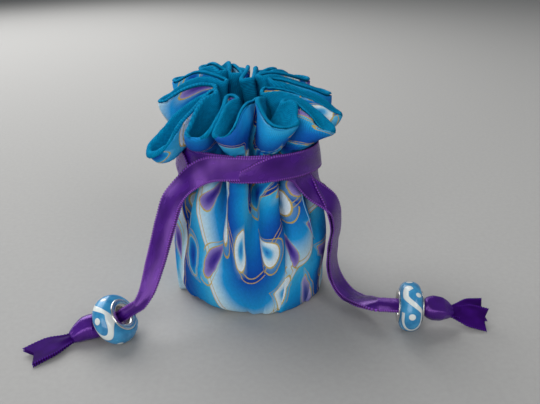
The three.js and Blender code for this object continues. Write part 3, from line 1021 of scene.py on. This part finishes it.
    def ring(self, zone: Zone, share: float) -> np.ndarray:
        """Ring of a zone.

        Args:
            zone: Stretch of the cloth.
            share: Share of the way through it.

        Returns:
            Smooth closed ring of points.
        """
        if zone is Zone.BASE:
            radius = max(self.base_radius * share, self.pole_radius)
            return self.body_ring(radius, self.floor, 0.0, 0.0, share)
        if zone is Zone.ROUNDING:
            turn = math.pi / 2 * share
            swell = math.sin(turn)
            radius = mix(self.base_radius, self.belly_radius, swell)
            height = mix(self.floor, self.belly_height, 1 - math.cos(turn))
            return self.body_ring(radius, height, 0.0, 0.0, 1 - swell)
        if zone is Zone.SHOULDER:
            narrowing = (1 + math.cos(math.pi * share**self.shoulder_fullness)) / 2
            radius = mix(self.neck_radius, self.belly_radius, narrowing)
            start = self.belly_fold_share * smooth_step(0.0, self.fold_onset, share)
            fold = mix(start, 1.0, share**self.fold_growth)
            return self.body_ring(radius, mix(self.belly_height, self.neck_low, share), fold, share**2)
        return self.ruffle_ring(share)

    def rows(self) -> list[tuple[Zone, float]]:
        """Zone and share of each row, from the middle of the base to the rim.

        Returns:
            The rows in order.
        """
        counts = (
            (Zone.BASE, self.base_rows, 0), (Zone.ROUNDING, self.rounding_rows, 0),
            (Zone.SHOULDER, self.shoulder_rows, 1), (Zone.RUFFLE, self.ruffle_rows, 1),
        )
        return [(zone, k / count) for zone, count, last in counts for k in range(count + last)]

    def surface(self) -> np.ndarray:
        """The meeting surface, with the unevenness of handled cloth.

        Returns:
            Points by row and column.
        """
        noise.seed_set(self.seed)
        rows = self.rows()
        points = np.array([self.ring(zone, share) for zone, share in rows])
        normals = self.normals(points)
        arc = np.cumsum(ring_steps(points), axis=1)
        for k, (zone, share) in enumerate(rows):
            if zone is Zone.BASE:
                continue
            lumps, pleats = self.unevenness(zone, share)
            for i, at in enumerate(points[k]):
                drift = np.array(noise.noise_vector(Vector(at) * self.lump_scale)) * lumps
                creased = noise.noise(Vector(at * self.crease_scale + self.crease_start))
                wander = self.pleat_wander * noise.noise(Vector(at) * self.wander_scale)
                pleat = pleats * math.sin(2 * math.pi * arc[k, i] / self.pleat_pitch + wander)
                points[k, i] = at + drift + normals[k, i] * (lumps * self.crease_share * creased + pleat)
        points[:, :, 2] = np.maximum(points[:, :, 2], self.floor)
        return points

    def unevenness(self, zone: Zone, share: float) -> tuple[float, float]:
        """Heights of the lumps of handled cloth and of the fine pleats beside the neck.

        Args:
            zone: Stretch of the cloth above its base.
            share: Share of the way through it.

        Returns:
            Both heights in metres.
        """
        if zone is Zone.ROUNDING:
            return self.lump_body * share, 0.0
        if zone is Zone.SHOULDER:
            return mix(self.lump_body, self.lump_neck, share), self.pleat_height * share**self.pleat_growth
        lumps = mix(self.lump_neck, self.lump_rim, smooth_step(0.0, self.lump_onset, share))
        return lumps, self.pleat_height * max(1 - share * self.pleat_fading, 0.0)

    def normals(self, points: np.ndarray) -> np.ndarray:
        """Outward normals of the surface.

        Args:
            points: Points by row and column.

        Returns:
            Normals by row and column.
        """
        around = np.roll(points, -1, axis=1) - np.roll(points, 1, axis=1)
        normal = unit(np.cross(around, np.gradient(points, axis=0)))
        normal[:self.base_rows] = -UP
        return normal


@dataclass
class Seam:
    """Pale thread sewn down the right of the body."""

    angles: tuple[float, float] = (61.5, 46.5)
    levels: tuple[float, float] = (0.22, 0.9)
    radius: float = 0.00012
    search: float = 2.0
    smoothing: int = 4
    steps: int = 4
    sides: int = 6

    def build(self, form: GatheredForm, face: np.ndarray) -> None:
        """Makes the thread.

        Args:
            form: Surface that gives the rows.
            face: The cloth's outer face by row and column.
        """
        sewn = self.sewn(form, face)
        route = through(sewn, [self.steps] * (len(sewn) - 1))
        reach = np.full((len(route), self.sides + 1), self.radius)
        points = swept(route, unit(np.gradient(route, axis=0)), reach)
        mesh = wrapped_grid(points, np.zeros((*points.shape[:2], 2)), "thread", closed=True)
        Piece("seam_thread", Body.POUCH, "outer_cloth", Slot.TEAL, PALE_THREAD.material()).place(mesh)

    def sewn(self, form: GatheredForm, face: np.ndarray) -> np.ndarray:
        """Line of the thread along the folds' outermost points, smoothed.

        Args:
            form: Surface that gives the rows.
            face: The cloth's outer face by row and column.

        Returns:
            One point for each row that the thread crosses.
        """
        low, high = self.levels
        line = []
        for (zone, share), ring in zip(form.rows(), face):
            if zone is Zone.SHOULDER and low <= share <= high:
                wanted = mix(*self.angles, ((share - low) / (high - low)) ** 0.5)
                turned = np.degrees(np.arctan2(ring[:, 0], -ring[:, 1]))
                near = ring[np.abs(turned - wanted) < self.search]
                line.append(near[np.argmax(np.linalg.norm(near[:, :2], axis=1))])
        sewn = np.array(line)
        for _ in range(self.smoothing):
            sewn[1:-1] = (sewn[:-2] + 2 * sewn[1:-1] + sewn[2:]) / 4
        return sewn + unit(sewn * (1.0, 1.0, 0.0)) * self.radius


@dataclass
class Cloths:
    """Printed outer cloth and plain lining, gathered together at the neck."""

    form: GatheredForm
    gap: float = 0.0003
    thickness: float = 0.0005
    cut: float = CLOTH_CUT
    rim_drop: float = 0.00035
    roll_rows: int = 6
    roll_turn: float = 0.93
    roll_height: float = 1.1

    def build(self) -> None:
        """Makes both cloths and the seam's thread."""
        points = self.form.surface()
        normals = self.form.normals(points)
        middle = (self.gap + self.thickness) / 2
        outer = points + normals * middle
        rim_up = unit(points[-1] - points[-3])
        outer[-1] -= rim_up * self.rim_drop
        turns = [math.pi * self.roll_turn * (k + 1) / self.roll_rows for k in range(self.roll_rows)]
        over = rim_up * middle * self.roll_height
        roll = [points[-1] - normals[-1] * middle * math.cos(t) + over * math.sin(t) for t in turns]
        inner = np.concatenate([points - normals * middle, np.array(roll)])
        Seam().build(self.form, outer + normals * self.thickness / 2)
        for name, sheet, node, slot, finish in (
            ("printed_cloth", outer, "outer_cloth", Slot.PRINT, PrintedCotton(cut=self.cut / MM)),
            ("lining_sheet", inner, "lining_cloth", Slot.TEAL, TealCotton(cut=self.cut / MM)),
        ):
            mesh = wrapped_grid(closed_ring(sheet), self.flat_cut(sheet), "flat_cut", closed=True)
            thing = Piece(name, Body.POUCH, node, slot, finish.material(), self.thickness).place(mesh)

    def flat_cut(self, sheet: np.ndarray) -> np.ndarray:
        """Place of each point on the flat round before it was gathered.

        Args:
            sheet: Points by row and column.

        Returns:
            UV coordinates by row and column, with the first column repeated at the end.
        """
        climb = np.linalg.norm(np.diff(sheet, axis=0), axis=2).mean(axis=1)
        reach = (np.concatenate([[0.0], np.cumsum(climb)]) / self.cut)[:, None]
        turn = np.concatenate([np.zeros((len(sheet), 1)), np.cumsum(ring_steps(sheet), axis=1)], axis=1)
        turn = 2 * math.pi * turn / np.maximum(turn[:, -1:], TINY)
        return np.stack([0.5 + reach * np.sin(turn), 0.5 - reach * np.cos(turn)], axis=2)


# Ribbons


@dataclass(frozen=True)
class Station:
    """Place of a ribbon on its route, the way it faces, its width and how far it curls across."""

    at: np.ndarray
    face: np.ndarray
    width: float = 0.0062
    curl: float = 0.0002


@dataclass
class Ribbon:
    """A length of satin ribbon along stations."""

    name: str
    stations: list[Station]
    step: float = 0.00031
    loop_height: float = 0.00028
    ripple: float = 0.00012
    ripple_scale: float = 300.0
    wave: float = 0.00012
    wave_scale: float = 150.0
    wave_start: tuple[float, float, float] = (3.0, 1.0, 2.0)
    bow: float = 0.0004
    bow_scale: float = 80.0
    bow_level: float = 0.35
    across: tuple[float, ...] = (-1.0, -0.93, -0.6, -0.2, 0.2, 0.6, 0.93, 1.0)

    def route(self) -> tuple[np.ndarray, np.ndarray]:
        """Way of the ribbon's middle.

        Returns:
            Centreline, and for each of its points the place among the stations.
        """
        places = np.array([station.at for station in self.stations])
        spans = np.linalg.norm(np.diff(places, axis=0), axis=1)
        steps = [max(2, round(span / self.step)) for span in spans]
        shares = [k + i / count for k, count in enumerate(steps) for i in range(count)]
        return through(places, steps), np.array([*shares, len(steps)])

    def strip(self) -> tuple[np.ndarray, np.ndarray]:
        """Strip of the ribbon, with its looped edges and its own waves.

        Returns:
            Points and UV coordinates by row and column.
        """
        centre, shares = self.route()
        tangent = unit(np.gradient(centre, axis=0))
        index = np.arange(len(self.stations))
        faces = np.array([station.face for station in self.stations])
        face = np.stack([np.interp(shares, index, faces[:, axis]) for axis in range(3)], axis=1)
        width = np.interp(shares, index, [station.width for station in self.stations])
        curl = np.interp(shares, index, [station.curl for station in self.stations])
        side = unit(np.cross(face, tangent))
        out = np.cross(tangent, side)
        rows = []
        for k, at in enumerate(centre):
            ripple = self.ripple * noise.noise(Vector(at) * self.ripple_scale)
            wave = self.wave * noise.noise(Vector(at) * self.wave_scale + Vector(self.wave_start))
            bow = curl[k] + self.bow * noise.noise(Vector(at) * self.bow_scale)
            edge = self.loop_height if k % 2 else 0.0
            row = []
            for u in self.across:
                reach = u * width[k] / 2 + (math.copysign(edge, u) if abs(u) == 1.0 else 0.0)
                lift = bow * (self.bow_level - u * u) + ripple * u + wave
                row.append(at + side[k] * reach + out[k] * lift)
            rows.append(row)
        length = along(centre) / RIBBON_WIDTH
        coords = [[(0.5 + u / 2, v) for u in self.across] for v in length]
        return np.array(rows), np.array(coords)

    def build(self, node: str, satin: bpy.types.Material) -> bpy.types.Object:
        """Makes the ribbon.

        Args:
            node: Drawstring's solid that it stands for.
            satin: Its finish.

        Returns:
            The new object.
        """
        points, coords = self.strip()
        mesh = wrapped_grid(points, coords, "ribbon", closed=False)
        return Piece(self.name, Body.POUCH, node, Slot.SATIN, satin, RIBBON_THICKNESS).place(mesh)

    def declare(self, thing: bpy.types.Object, reverse: bool, pieces: list[bpy.types.Object]) -> None:
        """Args:
            thing: The ribbon's object; not used.
            reverse: Whether the stations start at the knot; not used.
            pieces: What is on the ribbon; not used.
        """
        centre, _ = self.route()


@dataclass(frozen=True)
class BeadSizes:
    """Glass ring and flared core, as radii and half widths along the axis, with outlines by their shares."""

    glass_radius: float = 0.0066
    glass_half: float = 0.0028
    glass_bore: float = 0.00295
    glass_outline: tuple[tuple[float, float], ...] = ((0.95, 0.42), (0.78, 0.79), (0.4, 1.0), (0.12, 0.985))
    bore_edge: float = 0.88
    tube_radius: float = 0.00285
    bore_radius: float = 0.0025
    flange_radius: float = 0.0043
    flange_face: float = 0.0029
    core_half: float = 0.0033
    flare_outline: tuple[tuple[float, float], ...] = (
        (0.97, 0.0), (1.0, 0.25), (0.97, 0.6), (0.88, 0.9), (0.74, 1.0), (0.55, 0.94), (0.35, 0.72),
        (0.17, 0.3), (0.05, -0.3), (0.0, -1.0),
    )
    travel: float = 0.005
    curve_steps: int = 5
    turns: int = 72


@dataclass
class Bead:
    """Glass bead on its metal core."""

    side: Side
    centre: np.ndarray
    axis: np.ndarray
    scroll_faces: np.ndarray
    hand: int
    stroke: float
    sizes: BeadSizes = BeadSizes()

    def frame(self) -> Matrix:
        """Row frame of the bead, with its axis as +Z."""
        turn = Vector(UP).rotation_difference(Vector(self.axis))
        return Matrix.Translation(Vector(self.centre)) @ turn.to_matrix().to_4x4()

    def spun(self, profile: np.ndarray) -> bmesh.types.BMesh:
        """Spins a profile about the axis, into place.

        Args:
            profile: Closed line of radius and height.

        Returns:
            The mesh in the row frame.
        """
        mesh = bmesh.new()
        ring = [mesh.verts.new((radius, 0.0, height)) for radius, height in profile]
        edges = [mesh.edges.new((a, b)) for a, b in zip(ring, ring[1:] + ring[:1])]
        bmesh.ops.spin(
            mesh, geom=ring + edges, cent=(0, 0, 0), axis=(0, 0, 1), dvec=(0, 0, 0), angle=2 * math.pi,
            steps=self.sizes.turns, use_merge=True, use_duplicate=False,
        )
        bmesh.ops.remove_doubles(mesh, verts=mesh.verts, dist=WELD)
        bmesh.ops.recalc_face_normals(mesh, faces=mesh.faces)
        for face in mesh.faces:
            face.smooth = True
        bmesh.ops.transform(mesh, matrix=self.frame(), verts=mesh.verts)
        return mesh

    def glass_profile(self) -> np.ndarray:
        """Outline of the glass ring.

        Returns:
            Closed line of radius and height.
        """
        s = self.sizes
        half = [(mix(s.glass_bore, s.glass_radius, out), s.glass_half * up) for out, up in s.glass_outline]
        half.append((s.glass_bore, s.bore_edge * s.glass_half))
        lower = [(radius, -height) for radius, height in reversed(half)]
        points = np.array([*lower, (s.glass_radius, 0.0), *half])
        return through(points, [s.curve_steps] * (len(points) - 1))

    def core_profile(self) -> np.ndarray:
        """Outline of the flared core.

        Returns:
            Closed line of radius and height.
        """
        s = self.sizes
        lip = s.core_half - s.flange_face
        half = [(s.tube_radius, s.flange_face)]
        for out, up in s.flare_outline:
            half.append((mix(s.bore_radius, s.flange_radius, out), s.flange_face + lip * up))
        lower = [(radius, -height) for radius, height in reversed(half)]
        return np.array([*lower, *half])

    def build(self, metal: bpy.types.Material) -> list[bpy.types.Object]:
        """Makes the glass and the core.

        Args:
            metal: Finish of the core.

        Returns:
            Both objects.
        """
        name = self.side.value
        turn = self.frame().to_euler()
        facing = turn.to_matrix().inverted() @ Vector(self.scroll_faces)
        start = math.atan2(facing.y, facing.x) / (2 * math.pi)
        finish = BlueGlass(
            f"{name}_blue_glass", tuple(self.centre), tuple(turn), start, self.hand, self.stroke,
        )
        glass_body, core_body = Body(f"{name}_glass"), Body(f"{name}_core")
        glass = Piece(f"{name}_glass_ring", glass_body, f"{name}_bead_glass", Slot.GLASS, finish.material())
        core = Piece(f"{name}_flared_core", core_body, f"{name}_bead_core", Slot.METAL, metal)
        return [glass.place(self.spun(self.glass_profile())), core.place(self.spun(self.core_profile()))]


@dataclass
class Drawstring:
    """Doubled ribbon from the band round the neck through a bead to its knot and tails."""

    bead: Bead
    bead_face: np.ndarray
    hang: list[tuple[tuple[float, float, float], tuple[float, float, float]]]
    knot_middle: np.ndarray
    knot_pinch: np.ndarray
    ridge: float
    ridge_softness: float
    flat_half: float
    tail_ends: list[np.ndarray]
    tail_lean: float
    widening: tuple[float, ...] = ()
    bunch_width: float = 0.0028
    bunch_curl: float = 0.0006
    bunch_step: float = 0.0006
    ply_step: float = 0.0004
    clearance: float = 0.0003
    ply_in_knot: float = 0.0013
    last_straight: float = 0.001
    knot_radius: float = 0.0032
    knot_outline: tuple[tuple[float, float], ...] = (
        (0.0, 0.66), (0.1, 0.86), (0.3, 1.0), (0.55, 0.97), (0.8, 0.74), (1.0, 0.46),
    )
    knot_lead: float = 0.4
    knot_start: float = 0.97
    wrap_onset: float = 0.25
    wrap_limit: float = 0.2
    knot_fullness: float = 1.03
    knot_widths: float = 1.2
    knot_margin: float = 0.1
    gather_depth: float = 0.08
    gather_onset: float = 0.7
    gather_count: int = 7
    knot_steps: int = 18
    knot_sides: int = 56
    tail_length: float = 0.0115
    tail_notch: float = 0.002
    tail_root: float = 0.003
    tail_opening: tuple[float, float] = (-0.04, 0.56)
    tail_wave: float = 0.0003
    tail_half_waves: float = 1.3
    tail_folds: float = 4.5
    tail_unfolding: tuple[float, float] = (0.05, 0.5)
    tail_loop: float = 0.0002
    tail_gap: float = 0.0002
    tail_widths: float = 1.8
    tail_rows: int = 30
    tail_columns: tuple[float, ...] = (-1.0, -0.94, -0.7, -0.4, -0.13, 0.13, 0.4, 0.7, 0.94, 1.0)

    @property
    def name(self) -> str:
        """Side that the string is led to."""
        return self.bead.side.value

    @property
    def node(self) -> str:
        """CAD node that the ribbon, knot and tails stand for."""
        return f"{self.name}_drawstring"

    def ply(self, side: int) -> list[Station]:
        """One ply from inside the knot through the bead and up to the neck.

        Args:
            side: 1 for the ply on the facing side, -1 for the one behind it.

        Returns:
            Its stations in order.
        """
        axis = self.bead.axis
        across = unit(self.bead_face - axis * float(self.bead_face @ axis))
        core = self.bead.sizes.core_half
        straight = core + self.bead.sizes.travel + self.clearance
        stations = []
        for distance in (-(core + self.ply_in_knot), 0.0, core, straight - self.last_straight, straight):
            at = self.bead.centre + axis * distance + across * side * self.bunch_step
            stations.append(Station(at, across, self.bunch_width, side * self.bunch_curl))
        for k, (at, face) in enumerate(self.hang):
            facing = unit(np.array(face))
            width = self.widening[k] if k < len(self.widening) else Station.width
            stations.append(Station(np.array(at) + facing * side * self.ply_step, facing, width))
        return stations

    def knot(self, satin: bpy.types.Material) -> bpy.types.Object:
        """Makes the end knot as a roll of ribbon that narrows to a pinch.

        Args:
            satin: Its finish.

        Returns:
            The new object.
        """
        start = self.bead.centre - self.bead.axis * (self.bead.sizes.core_half + self.clearance)
        line = through(np.array([start, self.knot_middle, self.knot_pinch]), [self.knot_steps] * 2)
        share = along(line) / along(line)[-1]
        lead = np.array([smooth_step(0.0, self.knot_lead, s) for s in share])[:, None]
        tangent = unit(unit(np.gradient(line, axis=0)) * lead - self.bead.axis * (1 - lead))
        radii = np.interp(share, *zip(*self.knot_outline)) * self.knot_radius
        round_shares = np.linspace(0.0, 1.0, self.knot_sides + 1)
        reach = []
        for way, s, radius in zip(tangent, share, radii):
            level = unit(np.cross(UP, way))
            front = float(level @ FRONT)
            facing = math.atan2(float(np.cross(way, level) @ FRONT), front)
            asides = (2 * math.pi * round_shares - facing) * math.copysign(1.0, front)
            reach.append([radius * self.wrap(aside, s) for aside in asides])
        spread = mix(self.knot_margin, 1 - self.knot_margin, np.abs(2 * round_shares - 1))
        lengths = self.knot_widths * share[[0, *range(len(share)), -1]]
        coords = np.array([[(u, v) for u in spread] for v in lengths])
        grid = wrapped_grid(swept(line, tangent, np.array(reach)), coords, "ribbon", closed=True)
        return Piece(f"{self.name}_knot", Body.POUCH, self.node, Slot.SATIN, satin).place(grid)

    def wrap(self, aside: float, share: float) -> float:
        """Section of the knot: round below, flat above its ridge, and gathered at the pinch.

        Args:
            aside: Angle above the knot's front.
            share: Place from the bead at 0 to the pinch at 1.

        Returns:
            Share of the knot's radius.
        """
        away = abs(math.remainder(aside - self.ridge - self.flat_half, 2 * math.pi))
        flat = math.cos(self.flat_half) / max(math.cos(away), self.wrap_limit)
        soft = self.ridge_softness
        cut = -soft * math.log(math.exp(-1.0 / soft) + math.exp(-flat / soft))
        depth = self.gather_depth * smooth_step(self.gather_onset, 1.0, share)
        wrapped = mix(self.knot_start, self.knot_fullness * cut, smooth_step(0.0, self.wrap_onset, share))
        return wrapped - depth * math.cos(self.gather_count * aside)

    def tail(self, i: int, satin: bpy.types.Material) -> bpy.types.Object:
        """Makes one flat tail with a notched end.

        Args:
            i: Number of the tail, from 0 for the upper one.
            satin: Its finish.

        Returns:
            The new object.
        """
        way = unit(self.tail_ends[i] - self.knot_pinch)
        level = unit(np.cross(UP, way))
        lean = math.radians(self.tail_lean)
        across = level * math.cos(lean) + np.cross(way, level) * math.sin(lean)
        upward = np.cross(way, across)
        shares = np.linspace(0.0, 1.0, self.tail_rows)
        rows = []
        for k, share in enumerate(shares):
            width = mix(self.tail_root, Station.width, smooth_step(*self.tail_opening, share))
            fold = self.tail_wave * (1 - smooth_step(*self.tail_unfolding, share))
            wave = self.tail_wave * math.sin(math.pi * self.tail_half_waves * share) * share
            row = []
            for u in self.tail_columns:
                reach = share * (self.tail_length - self.tail_notch * (1 - abs(u)))
                edge = math.copysign(self.tail_loop, u) if abs(u) == 1.0 and k % 2 else 0.0
                lift = wave + fold * math.cos(self.tail_folds * u) + self.tail_gap * (1 - 2 * i)
                row.append(self.knot_pinch + way * reach + across * (u * width / 2 + edge) + upward * lift)
            rows.append(row)
        coords = [[(0.5 + u / 2, self.tail_widths * share) for u in self.tail_columns] for share in shares]
        mesh = wrapped_grid(np.array(rows), np.array(coords), "ribbon", closed=False)
        name = f"{self.name}_tail_{'ab'[i]}"
        return Piece(name, Body.POUCH, self.node, Slot.SATIN, satin, RIBBON_THICKNESS).place(mesh)

    def end_pieces(self, face: bpy.types.Material, back: bpy.types.Material) -> list[bpy.types.Object]:
        """Makes the knot and both tails, which lie with their dull side up."""
        return [self.knot(face), self.tail(0, back), self.tail(1, back)]


@dataclass
class NeckBand:
    """Where the two ribbons run round the neck."""

    inner_radius: float = 0.0188
    outer_radius: float = 0.0196
    height: float = 0.0424
    tilt: float = 0.0016
    upturn: float = 0.18
    step: float = 14.5

    def station(self, degrees: float, radius: float, up: float, width: float = Station.width) -> Station:
        """Station at an angle, a radius and a rise from the band's middle."""
        return Station(polar(degrees, radius, self.height + up), polar(degrees, 1.0, self.upturn), width)

    def run(self, start: float, end: float, radius: float) -> list[Station]:
        """Band from one angle to another, in its slope.

        Args:
            start: Angle of the first station.
            end: Angle of the last one.
            radius: Radius of the band.

        Returns:
            Its stations in order.
        """
        count = max(1, round(abs(end - start) / self.step))
        angles = [mix(start, end, k / count) for k in range(count + 1)]
        return [self.station(a, radius, self.tilt * math.cos(math.radians(a))) for a in angles]

    def turns(self, places: list[tuple[float, float, float]], radius: float) -> list[Station]:
        """Stations of a turn, as angles and the ways out from and up from the band."""
        return [self.station(degrees, radius + out, up) for degrees, out, up in places]


@dataclass
class Ribbons:
    """Both drawstrings with their beads, knots and tails."""

    band: NeckBand
    left: Drawstring
    right: Drawstring

    def left_ribbons(self) -> tuple[Ribbon, Ribbon]:
        """Strands of the left ribbon.

        Returns:
            The strand across the front, and the one that lies over it and runs round the neck.
        """
        band = self.band
        radius = band.outer_radius
        up = [(-43.5, 0.003, -0.003), (-36, 0.0008, -0.0004), (-26, 0.00015, 0.0011)]
        down = [(290, 0.0001, 0.0), (300, 0.0003, -0.0014), (307, 0.0014, -0.0034)]
        under = (
            (-13, 0.01955, 0.00156, 0.0058), (1.5, 0.0193, 0.0016, 0.0056), (16, 0.0192, 0.00154, 0.0056),
            (24, 0.0191, 0.0012, 0.005),
        )
        over = (
            (-14, 0.01925, -0.0014, 0.001), (-8, 0.0196, -0.0008, 0.002), (1, 0.0199, 0.0001, 0.0036),
            (10, 0.01995, 0.0009, 0.0052), (20, 0.0199, 0.0015, Station.width),
        )
        front = [*self.left.ply(1), *band.turns(up, radius), *(band.station(*place) for place in under)]
        round_neck = [
            *(band.station(*place) for place in over), *band.run(30.5, 277, radius),
            *band.turns(down, radius), *self.left.ply(-1)[::-1],
        ]
        return Ribbon("left_ribbon_front", front), Ribbon("left_ribbon_round", round_neck)

    def right_ribbons(self) -> tuple[Ribbon, Ribbon]:
        """Strands of the right ribbon.

        Returns:
            Its two halves, parted behind the neck.
        """
        band = self.band
        radius = band.inner_radius
        up = [(54.5, 0.00135, -0.0064), (50, 0.00012, -0.0038), (43, 0.00006, -0.0009), (31, 0.0, 0.001)]
        down = [(-286, -0.00015, -0.0012), (-291, 0.0004, -0.005), (-294, 0.0025, -0.0072)]
        first = [*self.right.ply(1), *band.turns(up, radius), *band.run(15, -130, radius)]
        second = [*band.run(-130, -275, radius), *band.turns(down, radius), *self.right.ply(-1)[::-1]]
        return Ribbon("right_ribbon_front", first), Ribbon("right_ribbon_back", second)

    def build(self) -> None:
        face, back = (PurpleSatin(side).material() for side in SatinSide)
        metal = SILVER_METAL.material()
        for string, (first, second) in ((self.left, self.left_ribbons()), (self.right, self.right_ribbons())):
            made = [ribbon.build(string.node, face) for ribbon in (first, second)]
            ends = [*string.bead.build(metal), *string.end_pieces(face, back)]
            first.declare(made[0], True, ends)
            second.declare(made[1], False, [])


def left_string() -> Drawstring:
    """The drawstring led to the left.

    Returns:
        The string in the lay of the photo.
    """
    bead = Bead(
        Side.LEFT, np.array([-0.0342, -0.0282, 0.0059631]), unit(np.array([0.788, -0.136, 0.601])),
        scroll_faces=np.array([-0.53, -0.53, 0.58]), hand=-1, stroke=0.2,
    )
    return Drawstring(
        bead,
        bead_face=np.array([0.1, -0.95, 0.2]),
        hang=[
            ((-0.0254, -0.0283, 0.0144), (-0.15, -0.93, 0.3)),
            ((-0.0234, -0.025, 0.0206), (-0.3, -0.9, 0.35)),
            ((-0.0209, -0.0208, 0.03), (-0.4, -0.85, 0.35)),
            ((-0.019, -0.0182, 0.0354), (-0.5, -0.8, 0.3)),
        ],
        widening=(0.0036, 0.0048, 0.0056, 0.006),
        knot_middle=np.array([-0.0412, -0.0282, 0.0035]),
        knot_pinch=np.array([-0.0454, -0.0304, 0.0018]),
        ridge=0.55, ridge_softness=0.018, flat_half=0.42,
        tail_ends=[np.array([-0.0538, -0.0372, 0.0015]), np.array([-0.0538, -0.0373, 0.0012])],
        tail_lean=-10.0, tail_notch=0.0017,
    )


def right_string() -> Drawstring:
    """The drawstring led to the right.

    Returns:
        The string in the lay of the photo.
    """
    bead = Bead(
        Side.RIGHT, np.array([0.0429, -0.0233, 0.0066]), unit(np.array([-0.995, 0.1, 0.0])),
        scroll_faces=np.array([-0.22, -0.86, 0.42]), hand=1, stroke=0.1,
    )
    return Drawstring(
        bead,
        bead_face=np.array([0.0, -0.45, 0.9]),
        hang=[
            ((0.0312, -0.0188, 0.0054), (0.1, -0.1, 1.0)), ((0.0289, -0.0152, 0.0043), (0.3, -0.2, 0.9)),
            ((0.0265, -0.0123, 0.005), (0.6, -0.3, 0.7)), ((0.0244, -0.0108, 0.008), (0.85, -0.4, 0.4)),
            ((0.0232, -0.0104, 0.013), (0.9, -0.42, 0.1)), ((0.0234, -0.0102, 0.0185), (0.9, -0.42, 0.0)),
            ((0.024, -0.0098, 0.024), (0.9, -0.42, 0.05)), ((0.0226, -0.0106, 0.0302), (0.88, -0.45, 0.15)),
        ],
        bunch_width=0.0036,
        knot_middle=np.array([0.0499, -0.0233, 0.006]),
        knot_pinch=np.array([0.0546, -0.0222, 0.0043]),
        ridge=0.32, ridge_softness=0.05, flat_half=0.72,
        tail_ends=[np.array([0.0647, -0.0201, 0.0034]), np.array([0.0637, -0.0238, 0.0028])],
        tail_lean=40.0, tail_length=0.0099, tail_notch=0.001,
    )


# Stage


@dataclass(frozen=True)
class Lamp:
    """Square soft lamp that faces the pouch."""

    name: str
    at: tuple[float, float, float]
    size: float
    power: float
    aim: tuple[float, float, float] = (0.0, 0.0, 0.03)

    def build(self) -> None:
        """Adds the lamp."""
        data = bpy.data.lights.new(self.name, "AREA")
        data.size = self.size
        data.energy = self.power
        lamp = add_object(self.name, data)
        lamp.location = self.at
        lamp.rotation_euler = (Vector(self.aim) - Vector(self.at)).to_track_quat("-Z", "Y").to_euler()


@dataclass
class Studio:
    """Camera, floor and soft light."""

    camera_at: tuple[float, float, float] = (0.0058, -0.157, 0.098)
    pitch: float = 65.5
    lens: float = 40.0
    sensor: float = 36.0
    near: float = 0.005
    floor_half: float = 3.0
    floor_segments: int = 8
    lamps: tuple[Lamp, ...] = (
        Lamp("key", (-0.3, 0.36, 0.44), 0.7, 5.4),
        Lamp("fill", (-0.3, -0.75, 0.36), 0.6, 3.6),
        Lamp("glint", (0.4, -0.5, 0.5), 0.34, 1.3),
    )
    sky: tuple[float, float, float, float] = (0.9, 0.95, 1.0, 1.0)
    sky_strength: float = 0.2

    def camera(self) -> None:
        """Makes the camera at the photograph's viewing angle."""
        data = bpy.data.cameras.new("camera")
        data.lens = self.lens
        data.sensor_width = self.sensor
        data.clip_start = self.near
        eye = add_object("camera", data)
        eye.location = self.camera_at
        eye.rotation_euler = (math.radians(self.pitch), 0.0, 0.0)
        bpy.context.scene.camera = eye

    def build(self) -> None:
        """Makes the floor, the lamps and the even light all round."""
        mesh = bmesh.new()
        segments = self.floor_segments
        bmesh.ops.create_grid(mesh, x_segments=segments, y_segments=segments, size=self.floor_half)
        add_mesh("floor", mesh, PALE_FLOOR.material())
        for lamp in self.lamps:
            lamp.build()
        world = bpy.data.worlds.new("studio")
        world.use_nodes = True
        sky = world.node_tree.nodes["Background"]
        sky.inputs["Color"].default_value = self.sky
        sky.inputs["Strength"].default_value = self.sky_strength
        bpy.context.scene.world = world
        bpy.context.scene.view_settings.view_transform = "Standard"


def main() -> None:
    """Builds the pouch and its studio in order."""
    logging.basicConfig(level=logging.INFO, format="%(name)s: %(message)s")
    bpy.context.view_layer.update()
    studio = Studio()
    studio.camera()
    Ribbons(NeckBand(), left_string(), right_string()).build()
    Cloths(GatheredForm()).build()
    studio.build()


if __name__ == "__main__":
    main()
